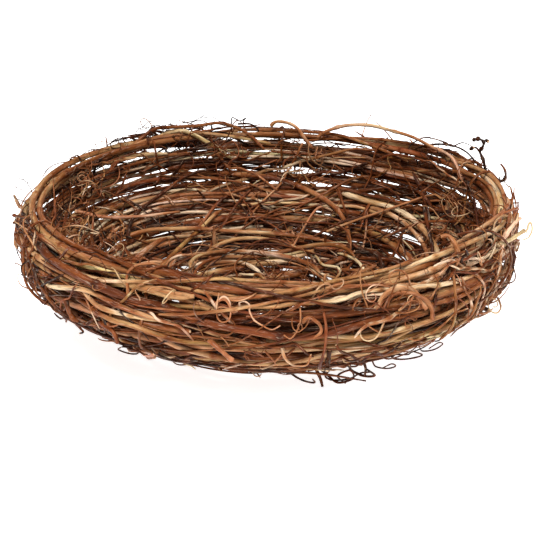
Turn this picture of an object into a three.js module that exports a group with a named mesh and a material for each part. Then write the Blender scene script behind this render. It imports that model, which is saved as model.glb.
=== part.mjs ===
// An empty bird nest wound from grapevine: a wide, shallow bowl about 300 mm across.
// Long, supple vines run round and round the bowl, outside, inside and along the rim, over a packed
// layer of finer stems. Long bent stems sweep across the floor, a few stems spring clear of the rim,
// and thin side shoots and curled tendrils stand off the wall.
//
// Millimetres, +Z up. The origin is the centre of the flat foot, and the nest rests on Z = 0.
// A place on the nest is given as (angle, along, off): the angle round the bowl in degrees, 0 at -Y
// and 90 at +X, the distance along the wall from the middle of the floor, and the distance off the
// middle of the wall, positive to the outside. Past the rim, "along" runs on upwards.

import * as THREE from "three";

// The middle of the wall, as radius and height, from the centre of the floor to the rim.
const WALL_MIDDLE = [
  [0, 4],
  [46, 4],
  [63, 9.5],
  [78, 17],
  [97.5, 27],
  [115, 37],
  [129, 46.5],
  [137.5, 53.5],
  [141.5, 60.5],
  [141, 70],
  [138.5, 80.5],
];
const PACKED_HALF_THICKNESS = 4; // of the layer of fine stems
const CLEARANCE = 0.6; // between pieces that lie on each other
const STEP_DEGREES = 15; // one straight stretch of a vine or of the bowl
const VINE_SIDES = 6;
const TENDRIL_SIDES = 5;

// The hand-wound bowl is not quite round, and its rim rises and falls: each wave adds a share of the
// radius or of the height, the most at an angle and again every turn / waves from there.
const RADIUS_WAVES = [
  { waves: 2, share: 0.017, at: 58 },
  { waves: 3, share: 0.003, at: -44 },
];
const HEIGHT_WAVES = [
  { waves: 1, share: 0.019, at: 150 },
  { waves: 2, share: 0.018, at: -74 },
  { waves: 3, share: 0.018, at: -18 },
];

// The vines wound over the packed layer, as courses of one long spiral on each side of it.
const OUTER_COURSES = {
  from: 66,
  to: 177,
  turns: 12,
  reach: 300,
  side: 1,
  diameters: [3.4, 4.2, 3.8, 3.4, 4.4, 4.0, 4.8, 3.6, 4.6, 5.0, 3.6, 4.4, 4.2, 5.6, 4.8],
  endLift: 4,
};
const INNER_COURSES = {
  from: 34,
  to: 171,
  turns: 10,
  reach: 315,
  side: -1,
  diameters: [4.6, 3.4, 4.2, 3.8, 4.6, 3.2],
  endLift: 3,
};
const END_GAP_DEGREES = 15; // between one vine's end and the next one's start
const LIFT_DEGREES = 40; // the stretch over which a vine's end springs off the wall
const SWAY = 1.3; // how far a vine strays along the wall, to each side of its course
const RIM_WAVE = 1.2; // half of how far a rim vine rises and falls

const BARK_TAN = 0xb98a55;
const BARK_RED = 0x8c5638;
const BARK_DARK = 0x55352a;
const BARK_PALE = 0xc9aa84;

const radians = THREE.MathUtils.degToRad;
const wallMiddle = new THREE.SplineCurve(
  WALL_MIDDLE.map(([radius, height]) => new THREE.Vector2(radius, height)),
);
const WALL_LENGTH = wallMiddle.getLength();

// ---------------------------------------------------------------- places on the nest

// Radius and height at a distance along the wall, and off its middle.
function onWall(along, off) {
  const u = THREE.MathUtils.clamp(along / WALL_LENGTH, 0, 1);
  const point = wallMiddle.getPointAt(u);
  const tangent = wallMiddle.getTangentAt(u);
  const past = Math.max(along - WALL_LENGTH, 0);
  return new THREE.Vector2(
    point.x + off * tangent.y + past * tangent.x,
    point.y - off * tangent.x + past * tangent.y,
  );
}

// A point at a radius, angle and height, moved to the hand-wound bowl's uneven shape.
function uneven(radius, degrees, height) {
  const wave = (total, { waves, share, at }) =>
    total + share * Math.cos(radians(waves * (degrees - at)));
  const reach = radius * RADIUS_WAVES.reduce(wave, 1);
  return new THREE.Vector3(
    reach * Math.sin(radians(degrees)),
    -reach * Math.cos(radians(degrees)),
    height * HEIGHT_WAVES.reduce(wave, 1),
  );
}

function place(degrees, along, off) {
  const { x: radius, y: height } = onWall(along, off);
  return uneven(radius, degrees, height);
}

// ---------------------------------------------------------------- making pieces

// A route given by a formula. Its steps are even in the formula's own parameter.
class Route extends THREE.Curve {
  constructor(at) {
    super();
    this.at = at;
  }

  getPoint(t) {
    return this.at(t);
  }

  getUtoTmapping(u) {
    return u;
  }
}

function roundSection(diameter, sides) {
  const corners = [];
  for (let i = 0; i < sides; i++) {
    const turn = (2 * Math.PI * i) / sides;
    corners.push(
      new THREE.Vector2(Math.cos(turn), Math.sin(turn)).multiplyScalar(
        diameter / 2,
      ),
    );
  }
  return new THREE.Shape(corners);
}

const nest = new THREE.Group();

function addPiece(name, geometry, color, roughness = 0.8) {
  const material = new THREE.MeshStandardMaterial({
    color,
    roughness,
    metalness: 0,
  });
  const mesh = new THREE.Mesh(geometry, material);
  mesh.name = name;
  nest.add(mesh);
}

function addStem(name, route, diameter, sides, steps, color) {
  const geometry = new THREE.ExtrudeGeometry(roundSection(diameter, sides), {
    steps,
    bevelEnabled: false,
    extrudePath: route,
  });
  addPiece(name, geometry, color);
}

// A stem through hand-placed points, each an (angle, along, off).
function addLooseStem(name, points, diameter, steps, color) {
  const route = new THREE.CatmullRomCurve3(
    points.map(([degrees, along, off]) => place(degrees, along, off)),
  );
  addStem(name, route, diameter, TENDRIL_SIDES, steps, color);
}

const numbered = (name, i) => `${name}_${String(i + 1).padStart(2, "0")}`;

// ---------------------------------------------------------------- packed layer of fine stems

// One closed skin of revolution: out along the underside, over the rim and back along the inside.
function addPackedLayer() {
  const alongs = [46, 53, 62, 82, 102, 122, 134, 142, 150, 159, 169, WALL_LENGTH];
  const outside = alongs.map((along) => onWall(along, PACKED_HALF_THICKNESS));
  const inside = alongs.map((along) => onWall(along, -PACKED_HALF_THICKNESS));
  outside[0].y = 0; // the edge of the flat foot
  const profile = [
    new THREE.Vector2(0, 0),
    ...outside,
    ...inside.reverse(),
    new THREE.Vector2(0, 2 * PACKED_HALF_THICKNESS),
  ];
  const geometry = new THREE.LatheGeometry(profile, 360 / STEP_DEGREES);
  const corners = geometry.getAttribute("position");
  for (let i = 0; i < corners.count; i++) {
    const x = corners.getX(i);
    const y = corners.getY(i);
    const z = corners.getZ(i);
    // The lathe turns about Y, and the nest about Z.
    const degrees = THREE.MathUtils.radToDeg(Math.atan2(x, z));
    const moved = uneven(Math.hypot(x, z), degrees, y);
    corners.setXYZ(i, moved.x, moved.y, moved.z);
  }
  addPiece("packed_fine_stems", geometry, BARK_DARK, 0.95);
}

// ---------------------------------------------------------------- vines wound round the bowl

// One layer's spiral, parted into single vines. Each climbs by one course in a turn, strays a little
// from its course, and its last stretch springs off the wall, the further the higher it lies.
function addCourses(name, courses) {
  const { from, to, turns, reach, side, diameters, endLift } = courses;
  const total = 360 * turns;
  const climb = (to - from) / total;
  for (let i = 0, start = 0; start < total - 90; i++, start += reach) {
    const end = Math.min(start + reach, total) - END_GAP_DEGREES;
    const diameter = diameters[i % diameters.length];
    const off = PACKED_HALF_THICKNESS + CLEARANCE + diameter / 2;
    const route = new Route((t) => {
      const turned = start + t * (end - start);
      const sway = SWAY * Math.sin(radians(2 * turned + 80 * i));
      const sprung = THREE.MathUtils.smoothstep(turned, end - LIFT_DEGREES, end);
      const lift = endLift * (turned / total) * sprung ** 2;
      return place(turned, from + climb * turned + sway, side * (off + lift));
    });
    const steps = (end - start) / STEP_DEGREES;
    const color = i % 3 === 1 ? BARK_RED : BARK_TAN;
    addStem(numbered(name, i), route, diameter, VINE_SIDES, steps, color);
  }
}

// Two vines lie side by side on the packed layer's top edge. Each rises and falls on its way round,
// in its own number of waves, and lies low at the front.
function addRimVines() {
  const rim = onWall(WALL_LENGTH, 0);
  const vines = [
    { radius: rim.x - 2.7, diameter: 3.8, start: 200, waves: 3 },
    { radius: rim.x + 2.7, diameter: 4.2, start: 75, waves: 2 },
  ];
  const reach = 345;
  const lowest = rim.y + 2 * CLEARANCE;
  vines.forEach(({ radius, diameter, start, waves }, i) => {
    const route = new Route((t) => {
      const turned = start + t * reach;
      const rise = RIM_WAVE * (1 - Math.cos(radians(waves * turned)));
      return uneven(radius, turned, lowest + diameter / 2 + rise);
    });
    const steps = reach / STEP_DEGREES;
    const color = i ? BARK_TAN : BARK_RED;
    addStem(numbered("rim_vine", i), route, diameter, VINE_SIDES, steps, color);
  });
}

// ---------------------------------------------------------------- stems bent across the floor

// Each lies as a bow on the inner vines, in one of two layers that cross. heading is the way that it
// runs, aside its distance from the middle of the floor, and bow how far it bends.
function addFloorStems() {
  const lowerOff = 11.6;
  const upperOff = 16.9;
  const stems = [
    { heading: 62, aside: -34, bow: -16, half: 62, off: lowerOff },
    { heading: 62, aside: -8, bow: -14, half: 74, off: lowerOff },
    { heading: 62, aside: 22, bow: -12, half: 66, off: lowerOff },
    { heading: 118, aside: -20, bow: 18, half: 70, off: upperOff },
    { heading: 118, aside: 8, bow: 16, half: 72, off: upperOff },
    { heading: 118, aside: 34, bow: 12, half: 56, off: upperOff },
  ];
  const diameter = 4.2;
  stems.forEach(({ heading, aside, bow, half, off }, i) => {
    const route = new Route((t) => {
      const run = (2 * t - 1) * half;
      const across = aside + bow * (1 - (run / half) ** 2);
      const radius = Math.hypot(run, across);
      const degrees =
        heading + THREE.MathUtils.radToDeg(Math.atan2(across, run));
      return uneven(radius, degrees, onWall(radius * 1.08, 0).y + off);
    });
    const color = i % 2 ? BARK_TAN : BARK_RED;
    addStem(numbered("floor_stem", i), route, diameter, VINE_SIDES, 9, color);
  });
}

// ---------------------------------------------------------------- loose stems, shoots and tendrils

function addLooseStems() {
  const rim = WALL_LENGTH;
  // A long stem that springs over the rim at the back right.
  addLooseStem(
    "sprung_rim_stem",
    [
      [163.2, rim + 9.2, -7.2],
      [160.6, rim + 13.4, -6.5],
      [156, rim + 17.7, -5.5],
      [150.8, rim + 19.5, -4],
      [145.2, rim + 19.6, -3],
      [138.5, rim + 17.9, -3],
      [131, rim + 16.2, -3],
      [123, rim + 12.6, -3],
      [113.1, rim + 10.9, -4],
    ],
    2.6,
    14,
    BARK_TAN,
  );
  // A cut end that hooks back over the rim behind.
  addLooseStem(
    "hooked_rim_end",
    [
      [168, rim + 9.2, -7.2],
      [169.6, rim + 14.2, -6.2],
      [171.6, rim + 16.6, -4.5],
      [174.1, rim + 17.1, -2.5],
      [176.6, rim + 16.1, -1],
      [178.1, rim + 12.7, -1],
    ],
    2.4,
    8,
    BARK_TAN,
  );
  // A side shoot with swollen buds, standing up from the rim at the right.
  addLooseStem(
    "bud_shoot",
    [
      [104.6, rim + 3, 7.8],
      [104, rim + 6.5, 7.2],
      [102.8, rim + 12.7, 6],
      [103.1, rim + 18.7, 5],
      [100, rim + 24.4, 5],
      [98.7, rim + 28.6, 5],
      [102.9, rim + 27.3, 5],
      [105.9, rim + 24.6, 5],
    ],
    2.2,
    11,
    BARK_DARK,
  );
  addLooseStem(
    "hooked_shoot",
    [
      [104.1, rim - 5.7, 12],
      [100.2, rim - 0.6, 12],
      [96.4, rim + 4, 12],
      [92.4, rim + 10.5, 11.4],
      [89.4, rim + 17.5, 10.4],
      [91.3, rim + 19.3, 9.4],
    ],
    2.2,
    8,
    BARK_DARK,
  );
  addLooseStem(
    "forked_shoot",
    [
      [61.9, rim + 2.2, 13],
      [62.6, rim + 6.1, 16],
      [63.9, rim + 9.4, 19],
      [65.5, rim + 11, 22],
    ],
    2.4,
    5,
    BARK_PALE,
  );
  // A thin dark runner that arches out past the wall at the right.
  addLooseStem(
    "arching_runner",
    [
      [51.4, rim + 15.3, 0],
      [53.5, rim + 15.1, 4],
      [55, rim + 14.5, 8],
      [57.2, rim + 12.4, 11],
      [58.6, rim + 9, 13.5],
      [61, rim + 2.8, 15],
      [62.6, rim - 4.5, 15.2],
      [62.3, rim - 10.5, 15],
      [59.4, rim - 14.8, 14.8],
      [56, rim - 17.2, 14],
      [52.9, rim - 18.5, 13],
      [49.5, rim - 19.2, 12.3],
    ],
    1.6,
    16,
    BARK_DARK,
  );
  // A thin runner that hugs the wall at the left.
  addLooseStem(
    "left_runner",
    [
      [-65.1, rim - 6.4, 12],
      [-60.1, rim - 11.3, 12.5],
      [-57.2, rim - 16.3, 12.7],
      [-54.2, rim - 19.1, 12.7],
      [-51.9, rim - 21.9, 12.6],
      [-48, rim - 24.7, 12],
    ],
    1.8,
    10,
    BARK_DARK,
  );
  addLooseStem(
    "left_sprig",
    [
      [-69.7, rim + 8.2, 11.5],
      [-70.8, rim + 8.7, 15],
      [-73.3, rim + 6.9, 17.5],
    ],
    2,
    4,
    BARK_DARK,
  );
  // A straight stick end that pokes out under the front.
  addLooseStem(
    "poking_stick",
    [
      [5, 104, 11.4],
      [12, 106, 12.7],
      [18.5, 108, 15.2],
      [24, 109.5, 18.7],
      [29.5, 111, 23],
    ],
    2.2,
    5,
    BARK_DARK,
  );
  // A bark strap, peeled off in a bow on the front wall.
  addLooseStem(
    "peeled_strap",
    [
      [23.4, rim - 6.1, 12],
      [24.5, rim - 2.2, 12.8],
      [26.3, rim + 0.9, 13.5],
      [28.5, rim + 1.6, 14],
      [30.8, rim - 2.2, 13.5],
      [32.6, rim - 7.4, 12.8],
      [34.3, rim - 13.4, 12],
    ],
    2.6,
    8,
    BARK_TAN,
  );
  addLooseStem(
    "curled_tendril",
    [
      [-9, rim - 10, 11.5],
      [-10, rim - 6, 12.5],
      [-9, rim - 2, 13.5],
      [-8, rim, 14],
      [-7, rim - 3, 13.5],
      [-6.8, rim - 7, 12.5],
      [-6, rim - 8, 12],
      [-5, rim - 6, 12.5],
      [-5, rim - 3, 13.5],
      [-4, rim - 2, 14],
      [-3, rim - 4, 13.5],
      [-3, rim - 7, 13],
      [-2, rim - 11, 12.5],
      [0, rim - 14, 12.5],
      [1.5, rim - 15, 13],
    ],
    1.2,
    18,
    BARK_PALE,
  );
  addLooseStem(
    "curly_shoot",
    [
      [15.7, rim - 24.4, 11.8],
      [18, rim - 25.6, 14],
      [20.4, rim - 30.5, 15],
      [21.3, rim - 26.5, 15.5],
      [22.8, rim - 24.6, 15],
      [25.6, rim - 28.1, 14],
      [27.5, rim - 27.3, 13],
    ],
    1.6,
    10,
    BARK_DARK,
  );
}

addPackedLayer();
addCourses("outer_vine", OUTER_COURSES);
addCourses("inner_vine", INNER_COURSES);
addRimVines();
addFloorStems();
addLooseStems();

export default nest;
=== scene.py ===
"""An empty bird nest wound from grapevine, 300 mm across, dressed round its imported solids.

Metres, +Z up, with the front of the nest at -Y and the middle of its flat foot at the origin. The
file follows the winding: the view, the thick vines outside, inside, on the rim and on the floor, the
stems packed between them, the loose stems, the tendrils and the shreds of bark, and then the room.
"""

import math
from dataclasses import dataclass

import bpy
import numpy as np
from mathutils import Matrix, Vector


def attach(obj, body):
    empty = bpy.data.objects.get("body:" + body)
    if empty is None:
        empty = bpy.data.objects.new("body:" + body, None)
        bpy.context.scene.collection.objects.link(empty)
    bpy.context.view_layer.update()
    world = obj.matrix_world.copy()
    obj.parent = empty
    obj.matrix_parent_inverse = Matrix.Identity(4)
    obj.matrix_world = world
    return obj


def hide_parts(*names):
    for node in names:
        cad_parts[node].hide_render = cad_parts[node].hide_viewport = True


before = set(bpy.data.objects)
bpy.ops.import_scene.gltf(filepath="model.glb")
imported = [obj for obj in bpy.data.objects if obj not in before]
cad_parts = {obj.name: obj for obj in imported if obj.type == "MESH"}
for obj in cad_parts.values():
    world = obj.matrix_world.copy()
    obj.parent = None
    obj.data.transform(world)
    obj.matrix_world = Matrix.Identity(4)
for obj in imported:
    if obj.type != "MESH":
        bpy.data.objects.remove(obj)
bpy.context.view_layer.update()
MM = 0.001

# ---------------------------------------------------------------- the view
# The camera stands in front of the nest, 920 mm off, and looks down on it at 21.6 degrees through a
# long lens, so that the far rim shows above the near one.
CAMERA_AT = Vector((0, -855.4, 382.7)) * MM
CAMERA_AIMS_AT = Vector((3.3, -2.2, 38.4)) * MM

camera_data = bpy.data.cameras.new("view")
camera_data.sensor_width = 36
camera_data.lens = 98.3
camera = bpy.data.objects.new("view", camera_data)
camera.location = CAMERA_AT
camera.rotation_euler = (CAMERA_AIMS_AT - CAMERA_AT).to_track_quat("-Z", "Y").to_euler()
bpy.context.collection.objects.link(camera)
bpy.context.scene.camera = camera
bpy.context.scene.view_settings.view_transform = "Standard"

# ---------------------------------------------------------------- outer vines
# Thick grapevine canes, each about one turn long, wound one above the other round the outside. Their
# bark runs from straw to purple brown, is ridged and fibrous, and swells at the joints of the cane.

# The middle of the wall, as radius and height, from the centre of the floor to the rim.
WALL_MIDDLE = MM * np.array(
    [
        [0, 4],
        [46, 4],
        [63, 9.5],
        [78, 17],
        [97.5, 27],
        [115, 37],
        [129, 46.5],
        [137.5, 53.5],
        [141.5, 60.5],
        [141, 70],
        [138.5, 80.5],
    ]
)
PACKED_HALF_THICKNESS = 4 * MM
CLEARANCE = 0.6 * MM
RADIUS_WAVES = ((2, 0.017, 58), (3, 0.003, -44))  # waves in a turn, share, where the highest is
HEIGHT_WAVES = ((1, 0.019, 150), (2, 0.018, -74), (3, 0.018, -18))


def through(points, places):
    """Points on a smooth curve through points, at places counted in points from the first."""
    points = np.asarray(points, float)
    last = len(points) - 1
    places = np.clip(places, 0, last)
    first = np.minimum(places.astype(int), last - 1)
    f = (places - first)[:, None]
    here, there = points[first], points[first + 1]
    leave = (there - points[np.maximum(first - 1, 0)]) / 2
    arrive = (points[np.minimum(first + 2, last)] - here) / 2
    return (
        here
        + f * leave
        + f**2 * (3 * (there - here) - 2 * leave - arrive)
        + f**3 * (2 * (here - there) + leave + arrive)
    )


def run_of(points):
    """How far along a line of points each one is."""
    return np.append(0, np.cumsum(np.linalg.norm(np.diff(points, axis=0), axis=1)))


wall = through(WALL_MIDDLE, np.linspace(0, len(WALL_MIDDLE) - 1, 2001))
wall_run = run_of(wall)
wall_heading = np.gradient(wall, axis=0)
wall_heading /= np.linalg.norm(wall_heading, axis=1)[:, None]
RIM = wall_run[-1]


def uneven(radius, degrees, height):
    """Points of the hand-wound bowl, which is not quite round and whose rim rises and falls."""

    def swelled(waves):
        return 1 + sum(share * np.cos(np.radians(count * (degrees - at))) for count, share, at in waves)

    radius, height = radius * swelled(RADIUS_WAVES), height * swelled(HEIGHT_WAVES)
    turn = np.radians(degrees)
    return np.stack([radius * np.sin(turn), -radius * np.cos(turn), height], axis=-1)


def place(degrees, along, off):
    """Points at an angle round the nest, a way along the wall and a way off its middle."""
    degrees, along, off = np.broadcast_arrays(degrees, along, off)
    radius, height = (np.interp(along, wall_run, wall[:, i]) for i in (0, 1))
    outward, upward = (np.interp(along, wall_run, wall_heading[:, i]) for i in (0, 1))
    past = np.maximum(along - RIM, 0)
    return uneven(
        radius + off * upward + past * outward,
        degrees,
        height - off * outward + past * upward,
    )


@dataclass
class Stem:
    """A vine, stem or tendril: the middle of it, its radius, and how dark its bark is, 0 to 1."""

    route: np.ndarray
    radius: np.ndarray
    tone: np.ndarray
    flat: float = 1.0  # thickness as a share of the width


def wander(rng, t, waves):
    """A smooth random line over t from 0 to 1, mostly within 1 of nothing, of up to so many waves."""
    total = np.zeros_like(t)
    for wave in range(1, 4):
        pace = waves * wave / 3 * rng.uniform(0.7, 1.3)
        total += rng.uniform(0.3, 0.6) * np.sin(2 * math.pi * (pace * t + rng.random()))
    return total


def grow_cane(rng, route, diameter, tone, joint_every=85 * MM, spacing=5 * MM, taper=0.12, kink=1 * MM):
    """A cane along a route: it swells and turns a little at each joint, and thins towards its tip."""
    run = run_of(route)
    length = run[-1]
    joints = np.cumsum(rng.uniform(0.6, 1.4, int(length / joint_every) + 2) * joint_every)
    joints = joints[joints < length - 4 * MM]
    near = np.array([-5, -2.6, -1.1, 0, 1.1, 2.6, 5]) * MM
    near_joints = (joints[:, None] + near).ravel()
    near_ends = [0.3 * diameter, length - 0.3 * diameter, length]
    stations = np.concatenate([np.arange(0, length, spacing), near_joints, near_ends])
    stations = np.unique(np.round(np.clip(stations, 0, length), 5))
    points = through(route, np.interp(stations, run, np.arange(len(route))))
    t = stations / length
    swell = np.exp(-(((stations[:, None] - joints) / (1.9 * MM)) ** 2)).sum(axis=1)
    if len(joints):
        turns = np.where(np.arange(len(joints) + 2) % 2, 1.0, -1.0) * rng.uniform(0.4, 1, len(joints) + 2)
        zigzag = np.interp(stations, np.r_[0, joints, length], turns)
        points = points + kink * zigzag[:, None] * rng.normal(0, 0.6, 3)
    radius = diameter / 2 * (1 - taper * t + 0.07 * wander(rng, t, 9)) * (1 + 0.32 * swell)
    to_end = np.minimum(stations, length - stations)
    radius = radius * (1 - 0.52 * np.exp(-((to_end / (0.8 * diameter)) ** 2)))
    tones = tone + 0.16 * wander(rng, t, 3) + 0.22 * swell
    return Stem(points, radius, tones)


def sweep(rng, stem, sides):
    """The skin of one stem: corners, grain for its bark, and how bare of bark each corner is."""
    route, count = stem.route, len(stem.route)
    heading = np.gradient(route, axis=0)
    heading /= np.linalg.norm(heading, axis=1)[:, None]
    across = np.empty_like(route)
    guess = np.cross(heading[0], (0.3, 0.5, 0.8))
    for i in range(count):
        guess = guess - heading[i] * heading[i].dot(guess)
        guess = guess / math.sqrt(guess.dot(guess))
        across[i] = guess
    up = np.cross(heading, across)
    turn = np.linspace(0, 2 * math.pi, sides, endpoint=False)
    run = run_of(route)
    lumps = (
        1
        + 0.05 * np.cos(2 * turn + rng.uniform(0, 6) + 12 * run[:, None])
        + 0.045 * np.cos(3 * turn + rng.uniform(0, 6) - 25 * run[:, None])
        + rng.normal(0, 0.012, (count, sides))
    )
    wide = stem.radius[:, None] * lumps * np.cos(turn)
    high = stem.radius[:, None] * lumps * np.sin(turn) * stem.flat
    corners = route[:, None] + wide[..., None] * across[:, None] + high[..., None] * up[:, None]
    corners = np.concatenate([corners.reshape(-1, 3), route[[0, -1]]])
    grain = np.stack([np.broadcast_to(run[:, None] + 20 * rng.random(), wide.shape), wide, high], axis=-1)
    grain = np.concatenate([grain.reshape(-1, 3), grain[[0, -1], 0] * (1, 0, 0)])
    tones = np.append(np.repeat(stem.tone, sides), stem.tone[[0, -1]])
    bare = np.append(np.zeros(count * sides), [1, 1])
    return corners, grain, tones, bare


def knit(count, sides):
    """The faces of a swept skin of count rings: quads down its length, and a fan over each end."""
    ring = np.arange(count - 1)[:, None] * sides
    side = np.arange(sides)
    after = (side + 1) % sides
    beyond = ring + sides
    quads = np.stack([ring + side, ring + after, beyond + after, beyond + side], -1)
    last = (count - 1) * sides
    poles = count * sides
    start_fan = np.stack([after, side, np.full(sides, poles)], -1)
    end_fan = np.stack([last + side, last + after, np.full(sides, poles + 1)], -1)
    return quads.reshape(-1, 4), start_fan, end_fan


ROW_ROOM = 1.25  # most height of a row of the tape, as a multiple of the thickest stem's girth
ROW_FILL, ROW_MARGIN = 0.82, 0.09  # shares of a row's height that the skin takes and leaves under it
MOST_ROWS = 400


def unroll(stems, sides):
    """Where each face of the stems lies on a square map: their skins, unrolled on one long tape that
    turns back at the square's edge. Returns the corners' places of each stem's quads and fans."""
    runs = [run_of(stem.route) for stem in stems]
    around = 2 * math.pi * max(stem.radius.max() for stem in stems)
    lengths = [run[-1] + 3 * stem.radius.max() for run, stem in zip(runs, stems)]
    longest_step = max(np.diff(run).max() for run in runs)
    rows = 1
    while True:
        row_length = sum(lengths) / rows * 1.002 + 2 * longest_step
        if rows * around * ROW_ROOM / row_length >= 1 or rows > MOST_ROWS:
            break
        rows += 1
    wide, tall = 1 / (row_length + longest_step), 1 / rows
    layouts, begin = [], 0.0
    for stem, run, length in zip(stems, runs, lengths):
        edge = np.arange(sides + 1) / sides * ROW_FILL + ROW_MARGIN
        start = begin + stem.radius[0] + run
        row = np.floor(start[:-1] / row_length)
        left = (start[:-1] - row * row_length) * wide
        right = left + np.diff(run) * wide
        low, high = (row[:, None] + edge[:-1]) * tall, (row[:, None] + edge[1:]) * tall
        quads = np.stack(
            [
                np.stack(np.broadcast_arrays(left[:, None], low), -1),
                np.stack(np.broadcast_arrays(left[:, None], high), -1),
                np.stack(np.broadcast_arrays(right[:, None], high), -1),
                np.stack(np.broadcast_arrays(right[:, None], low), -1),
            ],
            axis=2,
        )
        fans = []
        for end, x, reach in ((0, left[0], -stem.radius[0]), (-1, right[-1], stem.radius[-1])):
            near, far = (low[end], high[end]) if end else (high[end], low[end])
            tip = np.broadcast_to([x + reach * wide, (row[end] + 0.5) * tall], (sides, 2))
            base = [np.stack(np.broadcast_arrays(x, edge_y), -1) for edge_y in (near, far)]
            fans.append(np.stack([*base, tip], axis=1))
        layouts.append((quads.reshape(-1, 2), fans[0].reshape(-1, 2), fans[1].reshape(-1, 2)))
        begin += length
    return layouts


def make_piece(name, rng, stems, material, sides, replaces=()):
    """One mesh of many stems, which rides on the nest and may stand for some of its solids."""
    corners, grains, tones, bares, quads, fans, quad_uvs, fan_uvs = ([] for _ in range(8))
    base = 0
    for stem, layout in zip(stems, unroll(stems, sides)):
        skin, grain, tone, bare = sweep(rng, stem, sides)
        faces, start_fan, end_fan = knit(len(stem.route), sides)
        corners.append(skin)
        grains.append(grain)
        tones.append(tone)
        bares.append(bare)
        quads.append(faces + base)
        fans += [start_fan + base, end_fan + base]
        quad_uvs.append(layout[0])
        fan_uvs += layout[1:]
        base += len(skin)
    corners, quads, fans = np.concatenate(corners), np.concatenate(quads), np.concatenate(fans)
    corners[:, 2] = np.maximum(corners[:, 2], 0.1 * MM)
    mesh = bpy.data.meshes.new(name)
    mesh.vertices.add(len(corners))
    mesh.vertices.foreach_set("co", corners.astype(np.float32).ravel())
    mesh.loops.add(quads.size + fans.size)
    mesh.loops.foreach_set("vertex_index", np.append(quads.ravel(), fans.ravel()).astype(np.int32))
    mesh.polygons.add(len(quads) + len(fans))
    starts = np.append(np.arange(len(quads)) * 4, quads.size + np.arange(len(fans)) * 3)
    mesh.polygons.foreach_set("loop_start", starts.astype(np.int32))
    mesh.uv_layers.new(name="OFBake")
    mesh.uv_layers["OFBake"].data.foreach_set(
        "uv", np.concatenate(quad_uvs + fan_uvs).astype(np.float32).ravel()
    )
    for key, kind, field, values in (
        ("grain", "FLOAT_VECTOR", "vector", np.concatenate(grains)),
        ("tone", "FLOAT", "value", np.concatenate(tones)),
        ("bare", "FLOAT", "value", np.concatenate(bares)),
    ):
        mesh.attributes.new(key, kind, "POINT").data.foreach_set(field, values.astype(np.float32).ravel())
    mesh.update(calc_edges=True)
    mesh.validate()
    mesh.shade_smooth()
    mesh.materials.append(material)
    piece = bpy.data.objects.new(name, mesh)
    bpy.context.collection.objects.link(piece)
    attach(piece, "root")
    if replaces:
        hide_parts(*replaces)


def srgb(red, green, blue):
    """A screen colour, 0 to 255 a channel, as the linear colour that shaders take."""
    parts = [value / 255 for value in (red, green, blue)]
    return (*(v / 12.92 if v <= 0.04045 else ((v + 0.055) / 1.055) ** 2.4 for v in parts), 1)


class Shade:
    """A socket of a shader. Arithmetic on it adds Math nodes."""

    def __init__(self, paint, socket):
        self.paint, self.socket = paint, socket

    def math(self, operation, *values):
        return self.paint.add("Math", {"operation": operation}, dict(enumerate(values)))

    def __add__(self, other):
        return self.math("ADD", self, other)

    def __sub__(self, other):
        return self.math("SUBTRACT", self, other)

    def __mul__(self, other):
        return self.math("MULTIPLY", self, other)

    __radd__ = __add__


class Paint:
    """A new material, and one way to add any node to it."""

    def __init__(self, name):
        self.material = bpy.data.materials.new(name)
        self.material.use_nodes = True
        self.nodes = self.material.node_tree.nodes
        self.surface = self.nodes["Principled BSDF"]

    def put(self, value, socket):
        if isinstance(value, Shade):
            self.material.node_tree.links.new(value.socket, socket)
        else:
            socket.default_value = value

    def add(self, kind, settings=None, sockets=None, output=0):
        node = self.nodes.new("ShaderNode" + kind)
        for key, value in (settings or {}).items():
            if key == "stops":
                ramp = node.color_ramp.elements
                while len(ramp) < len(value):
                    ramp.new(1)
                for element, (at, colour) in zip(ramp, value):
                    element.position, element.color = at, colour
            else:
                setattr(node, key, value)
        for key, value in (sockets or {}).items():
            self.put(value, node.inputs[key])
        return Shade(self, node.outputs[output])

    def finish(self, **sockets):
        for key, value in sockets.items():
            self.put(value, self.surface.inputs[key.replace("_", " ")])
        return self.material

    def attribute(self, name, output="Fac"):
        return self.add("Attribute", {"attribute_name": name}, output=output)

    def blend(self, mask, plain, other, mode="MIX"):
        """Colour plain where mask is 0, and other where it is 1."""
        settings = {"data_type": "RGBA", "blend_type": mode}
        return self.add("Mix", settings, {"Factor": mask, 6: plain, 7: other}, output=2)

    def noise(self, grain, scales, detail=3, roughness=0.6):
        """Noise on the unrolled bark, so many waves a metre along, across and through it."""
        stretched = self.add("VectorMath", {"operation": "MULTIPLY"}, {0: grain, 1: scales})
        sockets = {"Vector": stretched, "Scale": 1, "Detail": detail, "Roughness": roughness}
        return self.add("TexNoise", None, sockets, output="Fac")

    def step(self, value, low, high):
        """0 where value is under low, 1 where it is over high, and smooth between."""
        sockets = {"Value": value, "From Min": low, "From Max": high}
        return self.add("MapRange", {"interpolation_type": "SMOOTHSTEP"}, sockets)


STRAW = srgb(212, 186, 162)
GOLD = srgb(180, 140, 102)
TAN = srgb(148, 100, 65)
RUST = srgb(122, 66, 31)
RED_BROWN = srgb(91, 41, 10)
PLUM_BROWN = srgb(63, 24, 2)
UMBER = srgb(29, 8, 0)
CUT_WOOD = srgb(190, 156, 120)
CASTS = [  # from wine red to olive: where on a slow noise each cast lies, and what it multiplies bark by
    (0.3, (1, 0.8, 0.82)),
    (0.42, (1, 0.91, 0.88)),
    (0.55, (0.96, 0.97, 0.84)),
    (0.7, (0.88, 0.97, 0.62)),
]


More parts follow.
